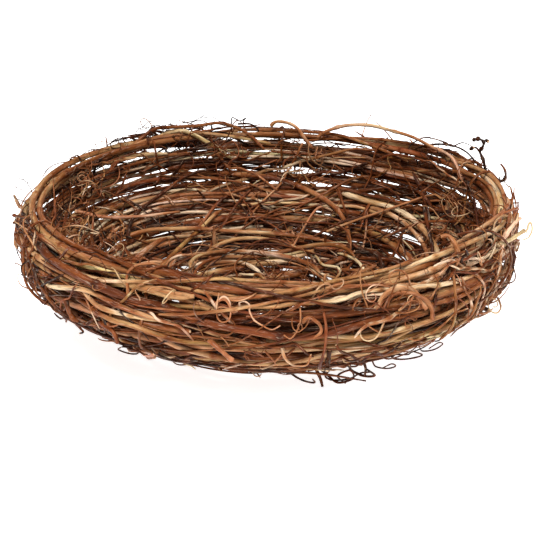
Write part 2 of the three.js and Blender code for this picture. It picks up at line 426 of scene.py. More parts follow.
def bark(name, tones, fibre=1.0, relief=0.5, roughness=0.62, tint=(1, 1, 1)):
    """Dry, fibrous bark. tones runs from the palest bark to the darkest, fibre scales its streaks, and
    tint is laid over it all."""
    paint = Paint(name)
    grain = paint.attribute("grain", "Vector")
    drift = paint.noise(grain, (28, 160, 160), detail=2)
    streaks = paint.noise(grain, (60 * fibre, 1000 * fibre, 1000 * fibre), detail=4)
    fine = paint.noise(grain, (220 * fibre, 2800 * fibre, 2800 * fibre), detail=2)
    flakes = paint.step(paint.noise(grain, (70, 620, 620), detail=5, roughness=0.7), 0.5, 0.6)
    tone = paint.attribute("tone") + (drift - 0.5) * 1.1 + (streaks - 0.5) * 0.75
    stops = [(i / (len(tones) - 1), colour) for i, colour in enumerate(tones)]
    colour = paint.add("ValToRGB", {"stops": stops}, {"Fac": tone})
    hue = paint.noise(grain, (7, 30, 30), detail=1)
    casts = [(at, (*(c * t for c, t in zip(colour_cast, tint)), 1)) for at, colour_cast in CASTS]
    cast = paint.add("ValToRGB", {"stops": casts}, {"Fac": hue})
    colour = paint.blend(1, colour, cast, "MULTIPLY")
    colour = paint.blend(flakes * 0.3, colour, RED_BROWN)
    dark = paint.step(streaks * 0.6 + fine * 0.4, 0.56, 0.36)
    colour = paint.blend(dark * 0.6, colour, UMBER)
    light = paint.step(fine * 0.5 + streaks * 0.5, 0.54, 0.66)
    colour = paint.blend(light * 0.34, colour, STRAW)
    colour = paint.blend(paint.step(paint.attribute("bare"), 0.1, 0.5), colour, CUT_WOOD)
    height = streaks * 0.6 + fine * 0.25 + flakes * 0.35
    bump = paint.add("Bump", None, {"Height": height, "Strength": relief, "Distance": 0.4 * MM})
    return paint.finish(
        Base_Color=colour,
        Roughness=roughness + (flakes - 0.5) * 0.16 + (streaks - 0.5) * 0.3,
        Normal=bump,
        Specular_IOR_Level=0.12,
    )


vine_tones = [STRAW, GOLD, TAN, RUST, RED_BROWN, PLUM_BROWN, UMBER]
vine_bark = bark("vine_bark", vine_tones, relief=0.6, tint=(1, 0.99, 0.92))
VINE_SIDES = 10
VINES_IN_A_PIECE = 4
VINE_GAP = 15  # degrees between the end of a vine and the start of the next
LAST_START = 90  # degrees before a spiral's end, within which no vine starts
SPRING_SPAN = 40  # degrees over which the end of a vine springs off the wall


@dataclass
class Courses:
    """One side's spiral of vines, in millimetres and degrees."""

    low: float  # along the wall, where the spiral starts and where it ends
    high: float
    turns: int
    reach: int  # from the start of one vine to the start of the next
    side: int  # 1 outside, -1 inside
    diameters: tuple
    end_lift: float  # how far the highest vine's end springs off the wall


def wind(rng, courses, tones):
    """The vines of one spiral, each a cane that strays a little and springs off the wall at its end."""
    total = 360 * courses.turns
    vines = []
    for i, start in enumerate(range(0, total - LAST_START, courses.reach)):
        end = min(start + courses.reach, total) - VINE_GAP
        diameter = courses.diameters[i % len(courses.diameters)] * MM
        t = np.linspace(0, 1, 120)
        turned = start + t * (end - start)
        sway = 1.3 * np.sin(np.radians(2 * turned + 80 * i)) + 1.5 * wander(rng, t, 5)
        near_end = np.clip((turned - end + SPRING_SPAN) / SPRING_SPAN, 0, 1)
        lift = courses.end_lift * turned / total * (near_end**2 * (3 - 2 * near_end)) ** 2
        along = courses.low + (courses.high - courses.low) / total * turned + sway
        off = lift * MM + PACKED_HALF_THICKNESS + CLEARANCE + diameter / 2
        route = place(turned, along * MM, courses.side * (off + 0.4 * MM * wander(rng, t, 6)))
        vines.append(grow_cane(rng, route, diameter, tones[i % len(tones)]))
    return vines


def make_vines(name, rng, vines, solid):
    """The vines as meshes of a few each, which stand for the solids numbered like them."""
    for first in range(0, len(vines), VINES_IN_A_PIECE):
        group = vines[first : first + VINES_IN_A_PIECE]
        nodes = [f"{solid}_{first + i + 1:02d}" for i in range(len(group))]
        piece = f"{name}_{first // VINES_IN_A_PIECE + 1}"
        make_piece(piece, rng, group, vine_bark, VINE_SIDES, nodes)


laid = []  # every stem in place so far
outer_rng = np.random.default_rng(11)
OUTER_DIAMETERS = (3.4, 4.2, 3.8, 3.4, 4.4, 4.0, 4.8, 3.6, 4.6, 5.0, 3.6, 4.4, 4.2, 5.6, 4.8)
OUTER_TONES = (0.3, 0.22, 0.5, 0.3, 0.6, 0.25, 0.35, 0.62, 0.22, 0.5, 0.3, 0.55, 0.24, 0.6, 0.3)
outer_courses = Courses(66, 177, turns=12, reach=300, side=1, diameters=OUTER_DIAMETERS, end_lift=4)
outer_vines = wind(outer_rng, outer_courses, OUTER_TONES)
make_vines("outer_vines", outer_rng, outer_vines, "outer_vine")
laid += outer_vines

# ---------------------------------------------------------------- inner vines
# The same canes wound round the inside of the bowl, a little thinner and darker.
inner_rng = np.random.default_rng(12)
INNER_DIAMETERS = (4.6, 3.4, 4.2, 3.8, 4.6, 3.2)
INNER_TONES = (0.5, 0.7, 0.32, 0.6, 0.78, 0.45)
inner_courses = Courses(34, 171, turns=10, reach=315, side=-1, diameters=INNER_DIAMETERS, end_lift=3)
inner_vines = wind(inner_rng, inner_courses, INNER_TONES)
make_vines("inner_vines", inner_rng, inner_vines, "inner_vine")
laid += inner_vines

# ---------------------------------------------------------------- rim vines
# Two long canes that lie side by side on the wall's top edge and bind it, each rising and falling on
# its way round.
rim_rng = np.random.default_rng(13)
RIM_RADIUS, RIM_HEIGHT = WALL_MIDDLE[-1]
RIM_WAVE = 1.2 * MM
rim_vines = []
RIM_VINE_TURN = 345  # degrees that each runs round the rim
for rim_aside, rim_diameter, rim_start, rim_waves, rim_tone in (
    (-2.7, 3.8, 200, 3, 0.5),
    (2.7, 4.2, 75, 2, 0.3),
):
    rim_t = np.linspace(0, 1, 130)
    rim_turned = rim_start + RIM_VINE_TURN * rim_t
    rim_rise = RIM_WAVE * (1 - np.cos(np.radians(rim_waves * rim_turned)))
    rim_radius = RIM_RADIUS + (rim_aside + 0.7 * wander(rim_rng, rim_t, 6)) * MM
    rim_height = RIM_HEIGHT + 2 * CLEARANCE + rim_diameter / 2 * MM + rim_rise
    rim_route = uneven(rim_radius, rim_turned, rim_height)
    rim_vines.append(grow_cane(rim_rng, rim_route, rim_diameter * MM, rim_tone))
rim_nodes = ["rim_vine_01", "rim_vine_02"]
make_piece("rim_vines", rim_rng, rim_vines, vine_bark, VINE_SIDES, rim_nodes)
laid += rim_vines

# ---------------------------------------------------------------- floor stems
# Canes bent across the floor of the bowl in two layers that cross, with their ends tucked under the
# inner vines.
LOWER_LAYER, UPPER_LAYER = 11.6, 16.9
FLOOR_STEM_DIAMETER = 4.2 * MM
FLOOR_RUN = 1.08  # how far along the wall a point of the floor lies, as a multiple of its radius
floor_rng = np.random.default_rng(14)
floor_stems = []


def over_floor(radius, degrees, off):
    """Points over the floor of the bowl, off millimetres above the middle of its thickness."""
    height = np.interp(radius * FLOOR_RUN, wall_run, wall[:, 1]) + off * MM
    return uneven(radius, degrees, height)


def cross_floor(rng, heading, aside, bow, half, off, count=60):
    """A route that runs across the floor at a heading, aside of its middle, bent by bow."""
    run = np.linspace(-half, half, count)
    across = aside + bow * (1 - (run / half) ** 2) + 1.2 * wander(rng, run / half / 2 + 0.5, 3)
    return over_floor(np.hypot(run, across) * MM, heading + np.degrees(np.arctan2(across, run)), off)


for floor_heading, floor_aside, floor_bow, floor_half, floor_off, floor_tone in (
    (62, -34, -16, 62, LOWER_LAYER, 0.55),
    (62, -8, -14, 74, LOWER_LAYER, 0.25),
    (62, 22, -12, 66, LOWER_LAYER, 0.6),
    (118, -20, 18, 70, UPPER_LAYER, 0.3),
    (118, 8, 16, 72, UPPER_LAYER, 0.5),
    (118, 34, 12, 56, UPPER_LAYER, 0.2),
):
    floor_route = cross_floor(floor_rng, floor_heading, floor_aside, floor_bow, floor_half, floor_off)
    floor_stems.append(grow_cane(floor_rng, floor_route, FLOOR_STEM_DIAMETER, floor_tone))
floor_nodes = [f"floor_stem_{i + 1:02d}" for i in range(len(floor_stems))]
make_piece("floor_stems", floor_rng, floor_stems, vine_bark, VINE_SIDES, floor_nodes)
laid += floor_stems

# ---------------------------------------------------------------- crossing canes
# Canes laid over the courses last, which run at a slant to them, cross each other on the front, the
# rim and the inside, and tuck in between the others at their ends.
SETTLE_STEP = 4 * MM
SETTLE_MARGIN = 1 * MM
PAIRS_EVERY = 6  # rounds between two searches for points that are near each other
PUSH = 0.9  # share of an overlap that one round takes away
LEAST_LEVEL = 0.02  # keeps nearly parallel stems from a division by nothing


def near_pairs(points, reach):
    """Pairs of points nearer than reach, found by sorting them into cubes of that size."""
    cells = np.floor(points / reach).astype(np.int64)
    cells -= cells.min(axis=0) - 1
    size = cells.max(axis=0) + 2
    key = (cells[:, 0] * size[1] + cells[:, 1]) * size[2] + cells[:, 2]
    order = np.argsort(key, kind="stable")
    ranked = key[order]
    firsts, seconds = [], []
    for x in (-1, 0, 1):
        for y in (-1, 0, 1):
            for z in (-1, 0, 1):
                beside = key + (x * size[1] + y) * size[2] + z
                low, high = np.searchsorted(ranked, beside), np.searchsorted(ranked, beside, "right")
                count = high - low
                first = np.repeat(np.arange(len(key)), count)
                rank = np.arange(len(first)) - np.repeat(np.cumsum(count) - count, count)
                second = order[np.repeat(low, count) + rank]
                keep = first < second
                firsts.append(first[keep])
                seconds.append(second[keep])
    first, second = np.concatenate(firsts), np.concatenate(seconds)
    near = ((points[first] - points[second]) ** 2).sum(axis=1) < reach**2
    return first[near], second[near]


def spread(index, vectors, count):
    """The sum of the vectors that fall on each of count points."""
    return np.stack([np.bincount(index, vectors[:, i], count) for i in range(3)], axis=1)


def resample(route):
    """A route with a point about every SETTLE_STEP."""
    count = max(6, int(run_of(route)[-1] / SETTLE_STEP))
    return through(route, np.linspace(0, len(route) - 1, count))


def settle(routes, radii, rounds):
    """Bends new stems clear of each other and of all that is laid, and keeps them smooth. The laid
    stems don't move. Where two cross, they part along the line between their nearest points."""
    new = [resample(route) for route in routes]
    lines = new + [resample(stem.route) for stem in laid]
    sizes = np.array([len(line) for line in lines])
    points = np.concatenate(lines)
    free = sizes[: len(new)].sum()
    owner = np.repeat(np.arange(len(lines)), sizes)
    thick = np.repeat([*radii, *(stem.radius.mean() for stem in laid)], sizes)
    moves = np.where(np.arange(len(points)) < free, 1.0, 0.0)
    ends = np.cumsum(sizes)
    begins = ends - sizes
    before, after = np.arange(len(points)) - 1, np.arange(len(points)) + 1
    before[begins] = begins
    after[ends - 1] = ends - 1
    start = points.copy()
    for step in range(rounds):
        if step % PAIRS_EVERY == 0:
            one, two = near_pairs(points, 2 * thick.max() + SETTLE_STEP + SETTLE_MARGIN)
            keep = (owner[one] != owner[two]) & (moves[one] + moves[two] > 0)
            one, two = one[keep], two[keep]
        heading = points[after] - points[before]
        heading /= np.linalg.norm(heading, axis=1)[:, None] + 1e-9
        apart = points[two] - points[one]
        slant = (heading[one] * heading[two]).sum(axis=1)
        b, c = (apart * heading[one]).sum(axis=1), (apart * heading[two]).sum(axis=1)
        level = np.maximum(1 - slant**2, LEAST_LEVEL)
        half = SETTLE_STEP / 2
        s = np.clip((b - slant * c) / level, -half, half)[:, None]
        t = np.clip((slant * b - c) / level, -half, half)[:, None]
        gap = apart + t * heading[two] - s * heading[one]
        distance = np.linalg.norm(gap, axis=1)
        overlap = thick[one] + thick[two] - distance
        hit = overlap > 0
        i, j = one[hit], two[hit]
        push = gap[hit] / (distance[hit][:, None] + 1e-6) * overlap[hit][:, None]
        share = (moves[i] / (moves[i] + moves[j]))[:, None]
        shift = spread(i, -push * share, len(points)) + spread(j, push * (1 - share), len(points))
        hits = np.bincount(i, minlength=len(points)) + np.bincount(j, minlength=len(points))
        points = points + shift / np.maximum(hits, 1)[:, None] * PUSH
        moved = points - start
        smooth = (moved[before] + moved[after] + 2 * moved) / 4
        points = start + np.where(moves[:, None] > 0, smooth, 0)
        points[:, 2] = np.maximum(points[:, 2], thick + 0.3 * MM)
    return np.split(points[:free], np.cumsum(sizes[: len(new)])[:-1])


def lay(rng, plan, rounds=36, **growth):
    """Canes grown from a plan of new stems, each a (route, diameter in millimetres, tone), which settle
    first. A tone may be a range, which it is drawn from."""
    routes = settle([route for route, _, _ in plan], [wide / 2 * MM for _, wide, _ in plan], rounds)
    canes = []
    for route, (_, diameter, tone) in zip(routes, plan):
        if isinstance(tone, tuple):
            tone = rng.uniform(*tone)
        canes.append(grow_cane(rng, route, diameter * MM, tone, **growth))
    return canes


def drawn(points, count=90):
    """A route through given points, each an (angle, along, off) in degrees and millimetres."""
    points = np.array(points, float)
    line = through(points, np.linspace(0, len(points) - 1, count))
    return place(line[:, 0], line[:, 1] * MM, line[:, 2] * MM)


CROSSING = [  # diameter in millimetres, tone, route
    (4.8, 0.62, [(-80, 174, 4), (-61, 177, 9), (-54, 175, 10), (-40, 174, 11), (-29, 171, 11),
        (-20, 169, 11), (-11, 165, 11), (-2, 163, 11), (5, 161, 11), (13, 162, 11), (22, 165, 10),
        (30, 164, 9), (42, 160, 3)]),
    (2.8, 0.18, [(-22, 170, 6), (-13, 172, 10), (-9, 171, 11), (-4, 174, 11), (2, 175, 11), (7, 177, 11),
        (15, 177, 11), (20, 180, 10), (29, 179, 9), (44, 178, 4)]),
    (2.7, 0.22, [(-54, 175, 5), (-45, 179, 9), (-38, 181, 9), (-30, 180, 10), (-21, 175, 10), (-14, 172, 9),
        (-4, 167, 3)]),
    (2.9, 0.2, [(-62, 163, 4), (-50, 166, 9), (-40, 168, 10), (-32, 166, 10), (-25, 164, 10),
        (-18, 161, 10), (-11, 160, 10), (-5, 159, 10), (1, 157, 10), (9, 156, 6), (18, 156, 2)]),
    (3.0, 0.08, [(-46, 168, 3), (-40, 165, 9), (-36, 163, 10), (-29, 164, 10), (-23, 165, 9),
        (-15, 166, 3)]),
    (3.0, 0.45, [(-52, 166, 3), (-42, 163, 9), (-34, 160, 10), (-27, 160, 10), (-18, 157, 10),
        (-11, 157, 9), (0, 154, 4)]),
    (2.5, 0.25, [(-40, 177, 4), (-27, 180, 9), (-18, 179, 10), (-11, 180, 10), (-5, 181, 8), (4, 182, 2)]),
    (4.4, 0.55, [(-34, 184, -3), (-22, 183, 4), (-14, 182, 8), (-8, 182, 9), (-2, 181, 10), (2, 179, 10),
        (10, 175, 5)]),
    (2.9, 0.25, [(-38, 163, 3), (-26, 158, 7), (-20, 152, 8), (-13, 146, 8), (-6, 141, 8), (1, 140, 8),
        (8, 144, 8), (13, 150, 8), (18, 153, 8), (25, 153, 8), (31, 154, 6), (40, 157, 2)]),
    (2.6, 0.18, [(8, 158, 3), (16, 159, 9), (22, 159, 10), (29, 160, 10), (36, 160, 10), (44, 161, 10),
        (51, 163, 9), (64, 165, 3)]),
    (2.9, 0.05, [(14, 177, 3), (24, 179, 9), (32, 179, 10), (40, 175, 10), (50, 172, 9), (58, 175, 9),
        (70, 177, 3)]),
    (2.6, 0.05, [(34, 183, 0), (48, 180, 9), (59, 177, 9), (71, 172, 8), (84, 169, 2)]),
    (3.0, 0.12, [(26, 184, -7), (36, 187, -4), (44, 189, 1), (53, 189, 5), (66, 185, 9), (80, 178, 6)]),
    (2.6, 0.2, [(30, 181, -9), (40, 185, -6), (50, 189, -2), (60, 191, 3), (74, 188, 7), (88, 181, 7)]),
    (2.8, 0.35, [(26, 166, 3), (36, 168, 9), (44, 166, 9), (52, 168, 9), (66, 165, 3)]),
    (2.8, 0.3, [(-78, 177, 9), (-64, 181, 7), (-52, 183, 5), (-42, 184, -4), (-32, 184, -10),
        (-20, 178, -10)]),
    (3.2, 0.2, [(-34, 170, 7), (-48, 174, 10), (-64, 174, 9), (-82, 173, 7), (-102, 172, 6),
        (-124, 170, 7)]),
    (3.0, 0.32, [(-46, 168, 8), (-62, 170, 10), (-80, 170, 9), (-98, 171, 8), (-120, 174, 5),
        (-140, 178, -6)]),
    (3.4, 0.12, [(-66, 166, 8), (-80, 167, 9), (-96, 168, 8), (-114, 172, 6), (-132, 176, 4),
        (-150, 177, -7)]),
    (2.8, 0.3, [(54, 171, 7), (68, 179, 8), (84, 184, 7), (102, 185, 3), (120, 184, -1), (142, 179, -7)]),
    (2.6, 0.36, [(62, 183, 3), (78, 186, 2), (94, 186, -1), (110, 183, -5), (128, 175, -9)]),
    (2.6, 0.5, [(76, 167, 8), (92, 173, 9), (108, 181, 7), (126, 186, 3), (146, 187, 0), (168, 183, -4)]),
    (2.4, 0.45, [(-160, 179, 6), (-176, 185, 4), (-192, 188, 0), (-208, 186, -3), (-228, 179, -7)]),
    (3.6, 0.08, [(-116, 166, 7), (-128, 173, 5), (-134, 175, 5), (-140, 180, 4), (-146, 184, 3),
        (-151, 187, 2), (-155, 189, 0), (-158, 188, -3), (-161.5, 184, -6), (-164.4, 180, -8),
        (-170, 170, -10)]),
    (2.6, 0.5, [(-126, 175, 4), (-138, 181.5, 4), (-143, 187, 3), (-147.6, 193, 2), (-153.7, 192.5, 1),
        (-160.8, 192.5, 0), (-165.5, 194.5, -1), (-170.2, 192.5, -2), (-175, 188, -5), (-180, 178, -9)]),
    (2.6, 0.35, [(-110, 171, 6), (-128, 177, 5), (-146, 185, 1), (-164, 186, -2), (-182, 181, -7)]),
    (3.8, 0.48, [(190, 149, -9), (179, 143, -12), (172, 139, -12), (165, 133, -12), (154, 121, -12),
        (145, 108, -12), (136, 92, -11)]),
    (2.0, 0.8, [(150, 136, -10), (141, 142, -12), (133, 150, -12), (126, 149, -13), (120, 142, -14),
        (112, 132, -14), (102, 118, -12)]),
    (2.3, 0.1, [(190, 119, -9), (178, 120, -11), (159, 122, -11), (146, 125, -11), (136, 125, -11),
        (114, 124, -11), (100, 120, -9)]),
    (2.7, 0.25, [(-148, 79, -11), (-156, 81, -14), (-165, 83, -15), (-177, 83, -15), (-189, 81, -14),
        (-202, 77, -12)]),
    (3.1, 0.35, [(-116, 114, -9), (-129, 109, -12), (-142, 101, -13), (-164, 91, -14), (-190, 88, -14),
        (-210, 90, -11)]),
    (3.0, 0.3, [(-100, 96, -10), (-112, 84, -13), (-128, 72, -14), (-150, 64, -15), (-178, 66, -13),
        (-200, 76, -10)]),
    (3.2, 0.38, [(-60, 100, -10), (-84, 88, -13), (-106, 80, -14), (-130, 84, -14), (-150, 98, -12),
        (-164, 116, -9)]),
    (4.0, 0.1, [(152, 135, -10), (140, 130, -12), (132, 130.5, -12), (121.5, 128, -12.5), (111, 124.5, -13),
        (100, 122, -13), (88, 119.5, -13), (74, 114, -10)]),
    (3.2, 0.2, [(141, 126, -10), (130, 123.5, -13), (121, 121.5, -13), (111, 118, -13.5), (99, 115.5, -14),
        (85.5, 113.5, -14), (70, 108, -10)]),
    (2.6, 0.85, [(130, 173, -9), (126, 165, -12), (121, 143.5, -13), (114, 133.5, -13.5), (103.5, 124, -14),
        (91, 119, -14), (78, 112, -10)]),
    (3.2, 0.75, [(48, 82, -11), (66, 92, -13), (84, 98, -13), (102, 94, -13), (122, 82, -12)]),
    (2.6, 0.4, [(58, 106, -10), (76, 96, -13), (94, 84, -14), (112, 74, -14), (130, 68, -12)]),
    (2.2, 0.28, [(-44, 172, 9), (-30, 178, 11), (-16, 184, 9), (-4, 187, 5), (8, 187, 4), (20, 184, 8),
        (34, 178, 9)]),
    (1.9, 0.85, [(-30, 186, -4), (-16, 187, 4), (-4, 183, 10), (8, 178, 12), (20, 172, 12), (32, 168, 9)]),
    (2.4, 0.3, [(-10, 178, 9), (4, 183, 10), (16, 187, 5), (28, 188, 0), (42, 186, -6), (54, 180, -9)]),
    (1.8, 0.36, [(-22, 166, 10), (-8, 172, 12.5), (6, 180, 11), (18, 186, 6), (30, 188, -2)]),
    (2.0, 0.6, [(-52, 184, -6), (-38, 187, 2), (-26, 184, 9), (-14, 177, 12), (-2, 171, 12), (10, 167, 9)]),
]
crossing_rng = np.random.default_rng(20)
crossing_plan = [(drawn(points), diameter, tone) for diameter, tone, points in CROSSING]
crossing_canes = lay(
    crossing_rng, crossing_plan, rounds=30, joint_every=62 * MM, taper=0.2, kink=0.5 * MM
)
laid += crossing_canes


def make_groups(name, rng, stems, material, sides, in_a_piece, replaces=()):
    """Many stems as meshes of a like number each."""
    for number, first in enumerate(range(0, len(stems), in_a_piece)):
        group = stems[first : first + in_a_piece]
        make_piece(f"{name}_{number + 1}", rng, group, material, sides, replaces)


make_groups("crossing_canes", crossing_rng, crossing_canes, vine_bark, sides=9, in_a_piece=8)

# ---------------------------------------------------------------- woven stems
# The bulk of the wall: some two hundred thinner stems, wound round it in loose strands that cross,
# which bend over and under the canes and each other and hold the bowl together.
woven_rng = np.random.default_rng(21)
STRANDS = [  # along the wall in millimetres, tilt in millimetres, and the angle that it is tilted towards
    (woven_rng.uniform(54, 173), woven_rng.uniform(2, 20), woven_rng.uniform(0, 360)) for _ in range(40)
]
WOVEN_TOP = 177  # how far up the wall the woven stems reach
RIM_DIPS = ((10, -108, 4), (11, 135, 6))  # how much less, round which angle, and how narrowly


def woven_route(rng, reach, stray, depth):
    """A stem wound round the wall in one of the strands. It strays from the strand and through the
    wall's depth, stays under the rim, and may spring off the wall at its end."""
    along, tilt, towards = STRANDS[rng.integers(len(STRANDS))]
    turn = rng.uniform(*reach)
    t = np.linspace(0, 1, max(12, int(turn / 4)))
    turned = rng.uniform(0, 360) + turn * t * rng.choice((-1, 1))
    along = along + tilt * np.sin(np.radians(turned - towards)) + stray * wander(rng, t, 0.5 + turn / 120)
    along = along + 0.8 * wander(rng, t, turn / 22)
    cap = WOVEN_TOP
    for dip, at, narrow in RIM_DIPS:
        cap = cap - dip * np.maximum(np.cos(np.radians(turned - at)), 0) ** narrow
    along = np.where(along > cap, cap + 0.15 * (along - cap), along)
    off = rng.uniform(-depth, 0.45 * depth) + 3.5 * wander(rng, t, 0.5 + turn / 110)
    spring = rng.choice((-1, 0, 0, 1)) * rng.uniform(2, 8) * np.clip((t - 0.9) / 0.1, 0, 1) ** 2
    return place(turned, along * MM, (off + spring) * MM)


def floor_arc(rng, off, count=44, rings=(26, 72), reach=92):
    """A stem that lies on the floor of the bowl as part of a ring, within reach of the middle."""
    ring = rng.uniform(*rings)
    away, towards = rng.uniform(0, reach - ring) * 0.8, rng.uniform(0, 2 * math.pi)
    turn = rng.uniform(0, 2 * math.pi) + np.linspace(0, 1, count) * rng.uniform(1.3, 3.8)
    ring = ring * (1 + 0.1 * wander(rng, np.linspace(0, 1, count), 2))
    x, y = away * math.cos(towards) + ring * np.cos(turn), away * math.sin(towards) + ring * np.sin(turn)
    return over_floor(np.hypot(x, y) * MM, np.degrees(np.arctan2(x, -y)), off)


INSIDE = (-1, (14, 70), (45, 135), (30, 95))  # side of the wall, and ranges of turn, low and climb
OUTSIDE = (1, (36, 120), (104, 176), (-52, 52))


def slanted_route(rng, side, turn, low, climb):
    """A stem that lies across the others on one side of the wall. turn, low and climb are the ranges of
    how far it runs round the nest, where on the wall it starts, and how far it climbs."""
    t = np.linspace(0, 1, 26)
    turned = rng.uniform(0, 360) + rng.choice((-1, 1)) * rng.uniform(*turn) * t
    along = rng.uniform(*low) + rng.uniform(*climb) * t + 4 * wander(rng, t, 1.5)
    off = side * (10.8 + 1.5 * wander(rng, t, 2) - 5 * np.abs(2 * t - 1) ** 6)
    return place(turned, np.clip(along, 40, 184) * MM, off * MM)


woven_plan = []
for _ in range(106):
    wound = woven_route(woven_rng, (90, 360), stray=3, depth=9)
    wound_diameter = woven_rng.uniform(1.5, 3.4)
    wound_tone = woven_rng.choice((woven_rng.uniform(0, 0.35), woven_rng.uniform(0.45, 1)))
    woven_plan.append((wound, wound_diameter, wound_tone))
for _ in range(38):
    arc_off = woven_rng.uniform(3, 21)
    arc = floor_arc(woven_rng, arc_off)
    arc_diameter = woven_rng.uniform(1.8, 4)
    # Arcs that lie low in the floor, under the others, get bark darker by half the tone range: painted
    # shade
    woven_plan.append((arc, arc_diameter, woven_rng.uniform(0.1, 0.6) + 0.5 * (arc_off < 14)))
for i in range(52):
    slanted = slanted_route(woven_rng, *(INSIDE, OUTSIDE, INSIDE)[i % 3])
    woven_plan.append((slanted, woven_rng.uniform(1.3, 2.7), woven_rng.uniform(0.1, 0.9)))
woven_stems = lay(
    woven_rng, woven_plan, joint_every=60 * MM, spacing=5.5 * MM, taper=0.3, kink=0.5 * MM
)
woven_rng.shuffle(woven_stems)
laid += woven_stems
stem_bark = bark("stem_bark", [STRAW, TAN, RUST, RED_BROWN, PLUM_BROWN, UMBER], fibre=1.4, relief=0.4)
PACKED = ["packed_fine_stems"]
make_groups(
    "woven_stems", woven_rng, woven_stems, stem_bark, sides=6, in_a_piece=33, replaces=PACKED
)

# ---------------------------------------------------------------- fine stems
# Thin, pliant stems that fill what is left of the wall. They wander more than the thick ones, slant
# across them inside and outside, and lie in arcs on the floor.
fine_rng = np.random.default_rng(22)
FINE_TONES = (0.1, 1)
fine_plan = []
for _ in range(96):
    wound = woven_route(fine_rng, (40, 170), stray=8, depth=9)
    fine_plan.append((wound, fine_rng.uniform(0.9, 1.7), FINE_TONES))
for i in range(96):
    slanted = slanted_route(fine_rng, *(INSIDE, OUTSIDE)[i % 2])
    fine_plan.append((slanted, fine_rng.uniform(0.9, 1.6), FINE_TONES))
for _ in range(34):
    arc = floor_arc(fine_rng, fine_rng.uniform(0, 22), count=36)
    fine_plan.append((arc, fine_rng.uniform(0.9, 1.7), FINE_TONES))
for _ in range(44):
    arc = floor_arc(fine_rng, fine_rng.uniform(2, 16), count=26, rings=(9, 46), reach=58)
    fine_plan.append((arc, fine_rng.uniform(1, 2.4), FINE_TONES))
fine_stems = lay(fine_rng, fine_plan, rounds=24, joint_every=40 * MM, taper=0.4, kink=0.4 * MM)
fine_rng.shuffle(fine_stems)
laid += fine_stems
make_groups(
    "fine_stems", fine_rng, fine_stems, stem_bark, sides=5, in_a_piece=68, replaces=PACKED
)

# ---------------------------------------------------------------- crooked twigs
# Short, knotty side twigs that lie on the canes at all slants and turn at each of their many joints.
# They are thickest at the right of the front, at the left end and along the far rim.
twig_rng = np.random.default_rng(25)
TWIG_PACE = 2.0  # millimetres from one point of a twig to the next
TWIG_TOP = 188  # how far up the wall a twig may climb


def crooked_route(rng, degrees, along, off, slant, length):
    """A twig that starts at a place on the wall at a slant to the canes and turns at each joint."""
    count = int(length / TWIG_PACE) + 4
    headings = np.empty(count)
    heading, left, way = slant, 0, rng.choice((-1, 1))
    for i in range(count):
        if left <= 0:
            way = -way
            heading += way * rng.uniform(8, 34) + rng.normal(0, 5)
            left = rng.uniform(5, 13)
        headings[i] = heading
        left -= TWIG_PACE
    headings = np.radians(headings)
    along = along + np.append(0, np.cumsum(np.sin(headings[1:]))) * TWIG_PACE
    radius = np.maximum(np.interp(along * MM, wall_run, wall[:, 0]) / MM, 15)
    round_it = np.append(0, np.cumsum(np.cos(headings[1:]))) * TWIG_PACE / radius
    t = np.linspace(0, 1, count)
    lift = rng.uniform(-1, 4) * t**3 - 4 * (1 - t) ** 4
    off = off + np.sign(off) * (lift + 0.8 * wander(rng, t, 3))
    return place(degrees + np.degrees(round_it), np.minimum(along, TWIG_TOP) * MM, off * MM)


twig_plan = []
# Each bunch: how many, between which angles, between which ways along the wall, off it, and its tones.
for twig_count, twig_degrees, twig_along, twig_off, twig_tones in (
    (60, (40, 80), (142, 182), 11, (-0.1, 0.5)),
    (24, (-80, -46), (120, 176), 11, (0.2, 1)),
    (40, (-50, 40), (126, 180), 11.2, (0, 0.95)),
    (40, (110, 250), (116, 178), 10.5, (0, 0.95)),
    (30, (95, 265), (104, 182), -10.5, (0, 0.95)),
    (26, (-95, 95), (120, 180), -10.5, (0.1, 1)),
    (40, (0, 360), (20, 100), -12, (0.1, 1)),
    (26, (-178, -108), (174, 184), 4, (0.3, 1)),
    (16, (100, 160), (174, 184), 4, (0.3, 1)),
):
    for _ in range(twig_count):
        twig_route = crooked_route(
            twig_rng,
            twig_rng.uniform(*twig_degrees),
            twig_rng.uniform(*twig_along),
            twig_off,
            slant=twig_rng.choice((0, 180)) + twig_rng.normal(0, 38),
            length=twig_rng.uniform(12, 52),
        )
        twig_plan.append((twig_route, twig_rng.uniform(0.9, 2.3), twig_rng.uniform(*twig_tones)))
twigs = lay(
    twig_rng, twig_plan, rounds=12, joint_every=9 * MM, spacing=3.2 * MM, taper=0.45, kink=0.2 * MM
)
make_groups("crooked_twigs", twig_rng, twigs, stem_bark, sides=5, in_a_piece=151)

# ---------------------------------------------------------------- wraps
# Thin red-brown stems bound round the wall from outside to inside, over the rim, which hold the
# courses down.
WRAP_LOOP = [  # angle, along and off, up the outside and down the inside
    (0, 92, 11),
    (1, 118, 12),
    (2, 146, 12.5),
    (3, 168, 11),
    (4, 182, 8.5),
    (5, 187, 0),
    (5, 182, -8.5),
    (4, 165, -11),
    (3, 140, -11.5),
    (2, 110, -11),
]
WRAP_POINTS = len(WRAP_LOOP)
wrap_rng = np.random.default_rng(23)
wrap_routes = []
for wrap_at in (-28, 15, 70, 112, 148, 178, -152, -62, 41, 95):
    wrap_line = np.array(WRAP_LOOP, float)
    wrap_line[:, 0] = wrap_at + wrap_line[:, 0] * wrap_rng.uniform(-1.6, 1.6)
    wrap_line[:, 0] += wrap_rng.normal(0, 0.8, WRAP_POINTS)
    wrap_line[:, 1:] += wrap_rng.normal(0, 1.2, (WRAP_POINTS, 2))
    wrap_line = wrap_line[wrap_rng.integers(0, 3) : WRAP_POINTS - wrap_rng.integers(0, 3)]
    wrap_routes.append(drawn(wrap_line, count=60))
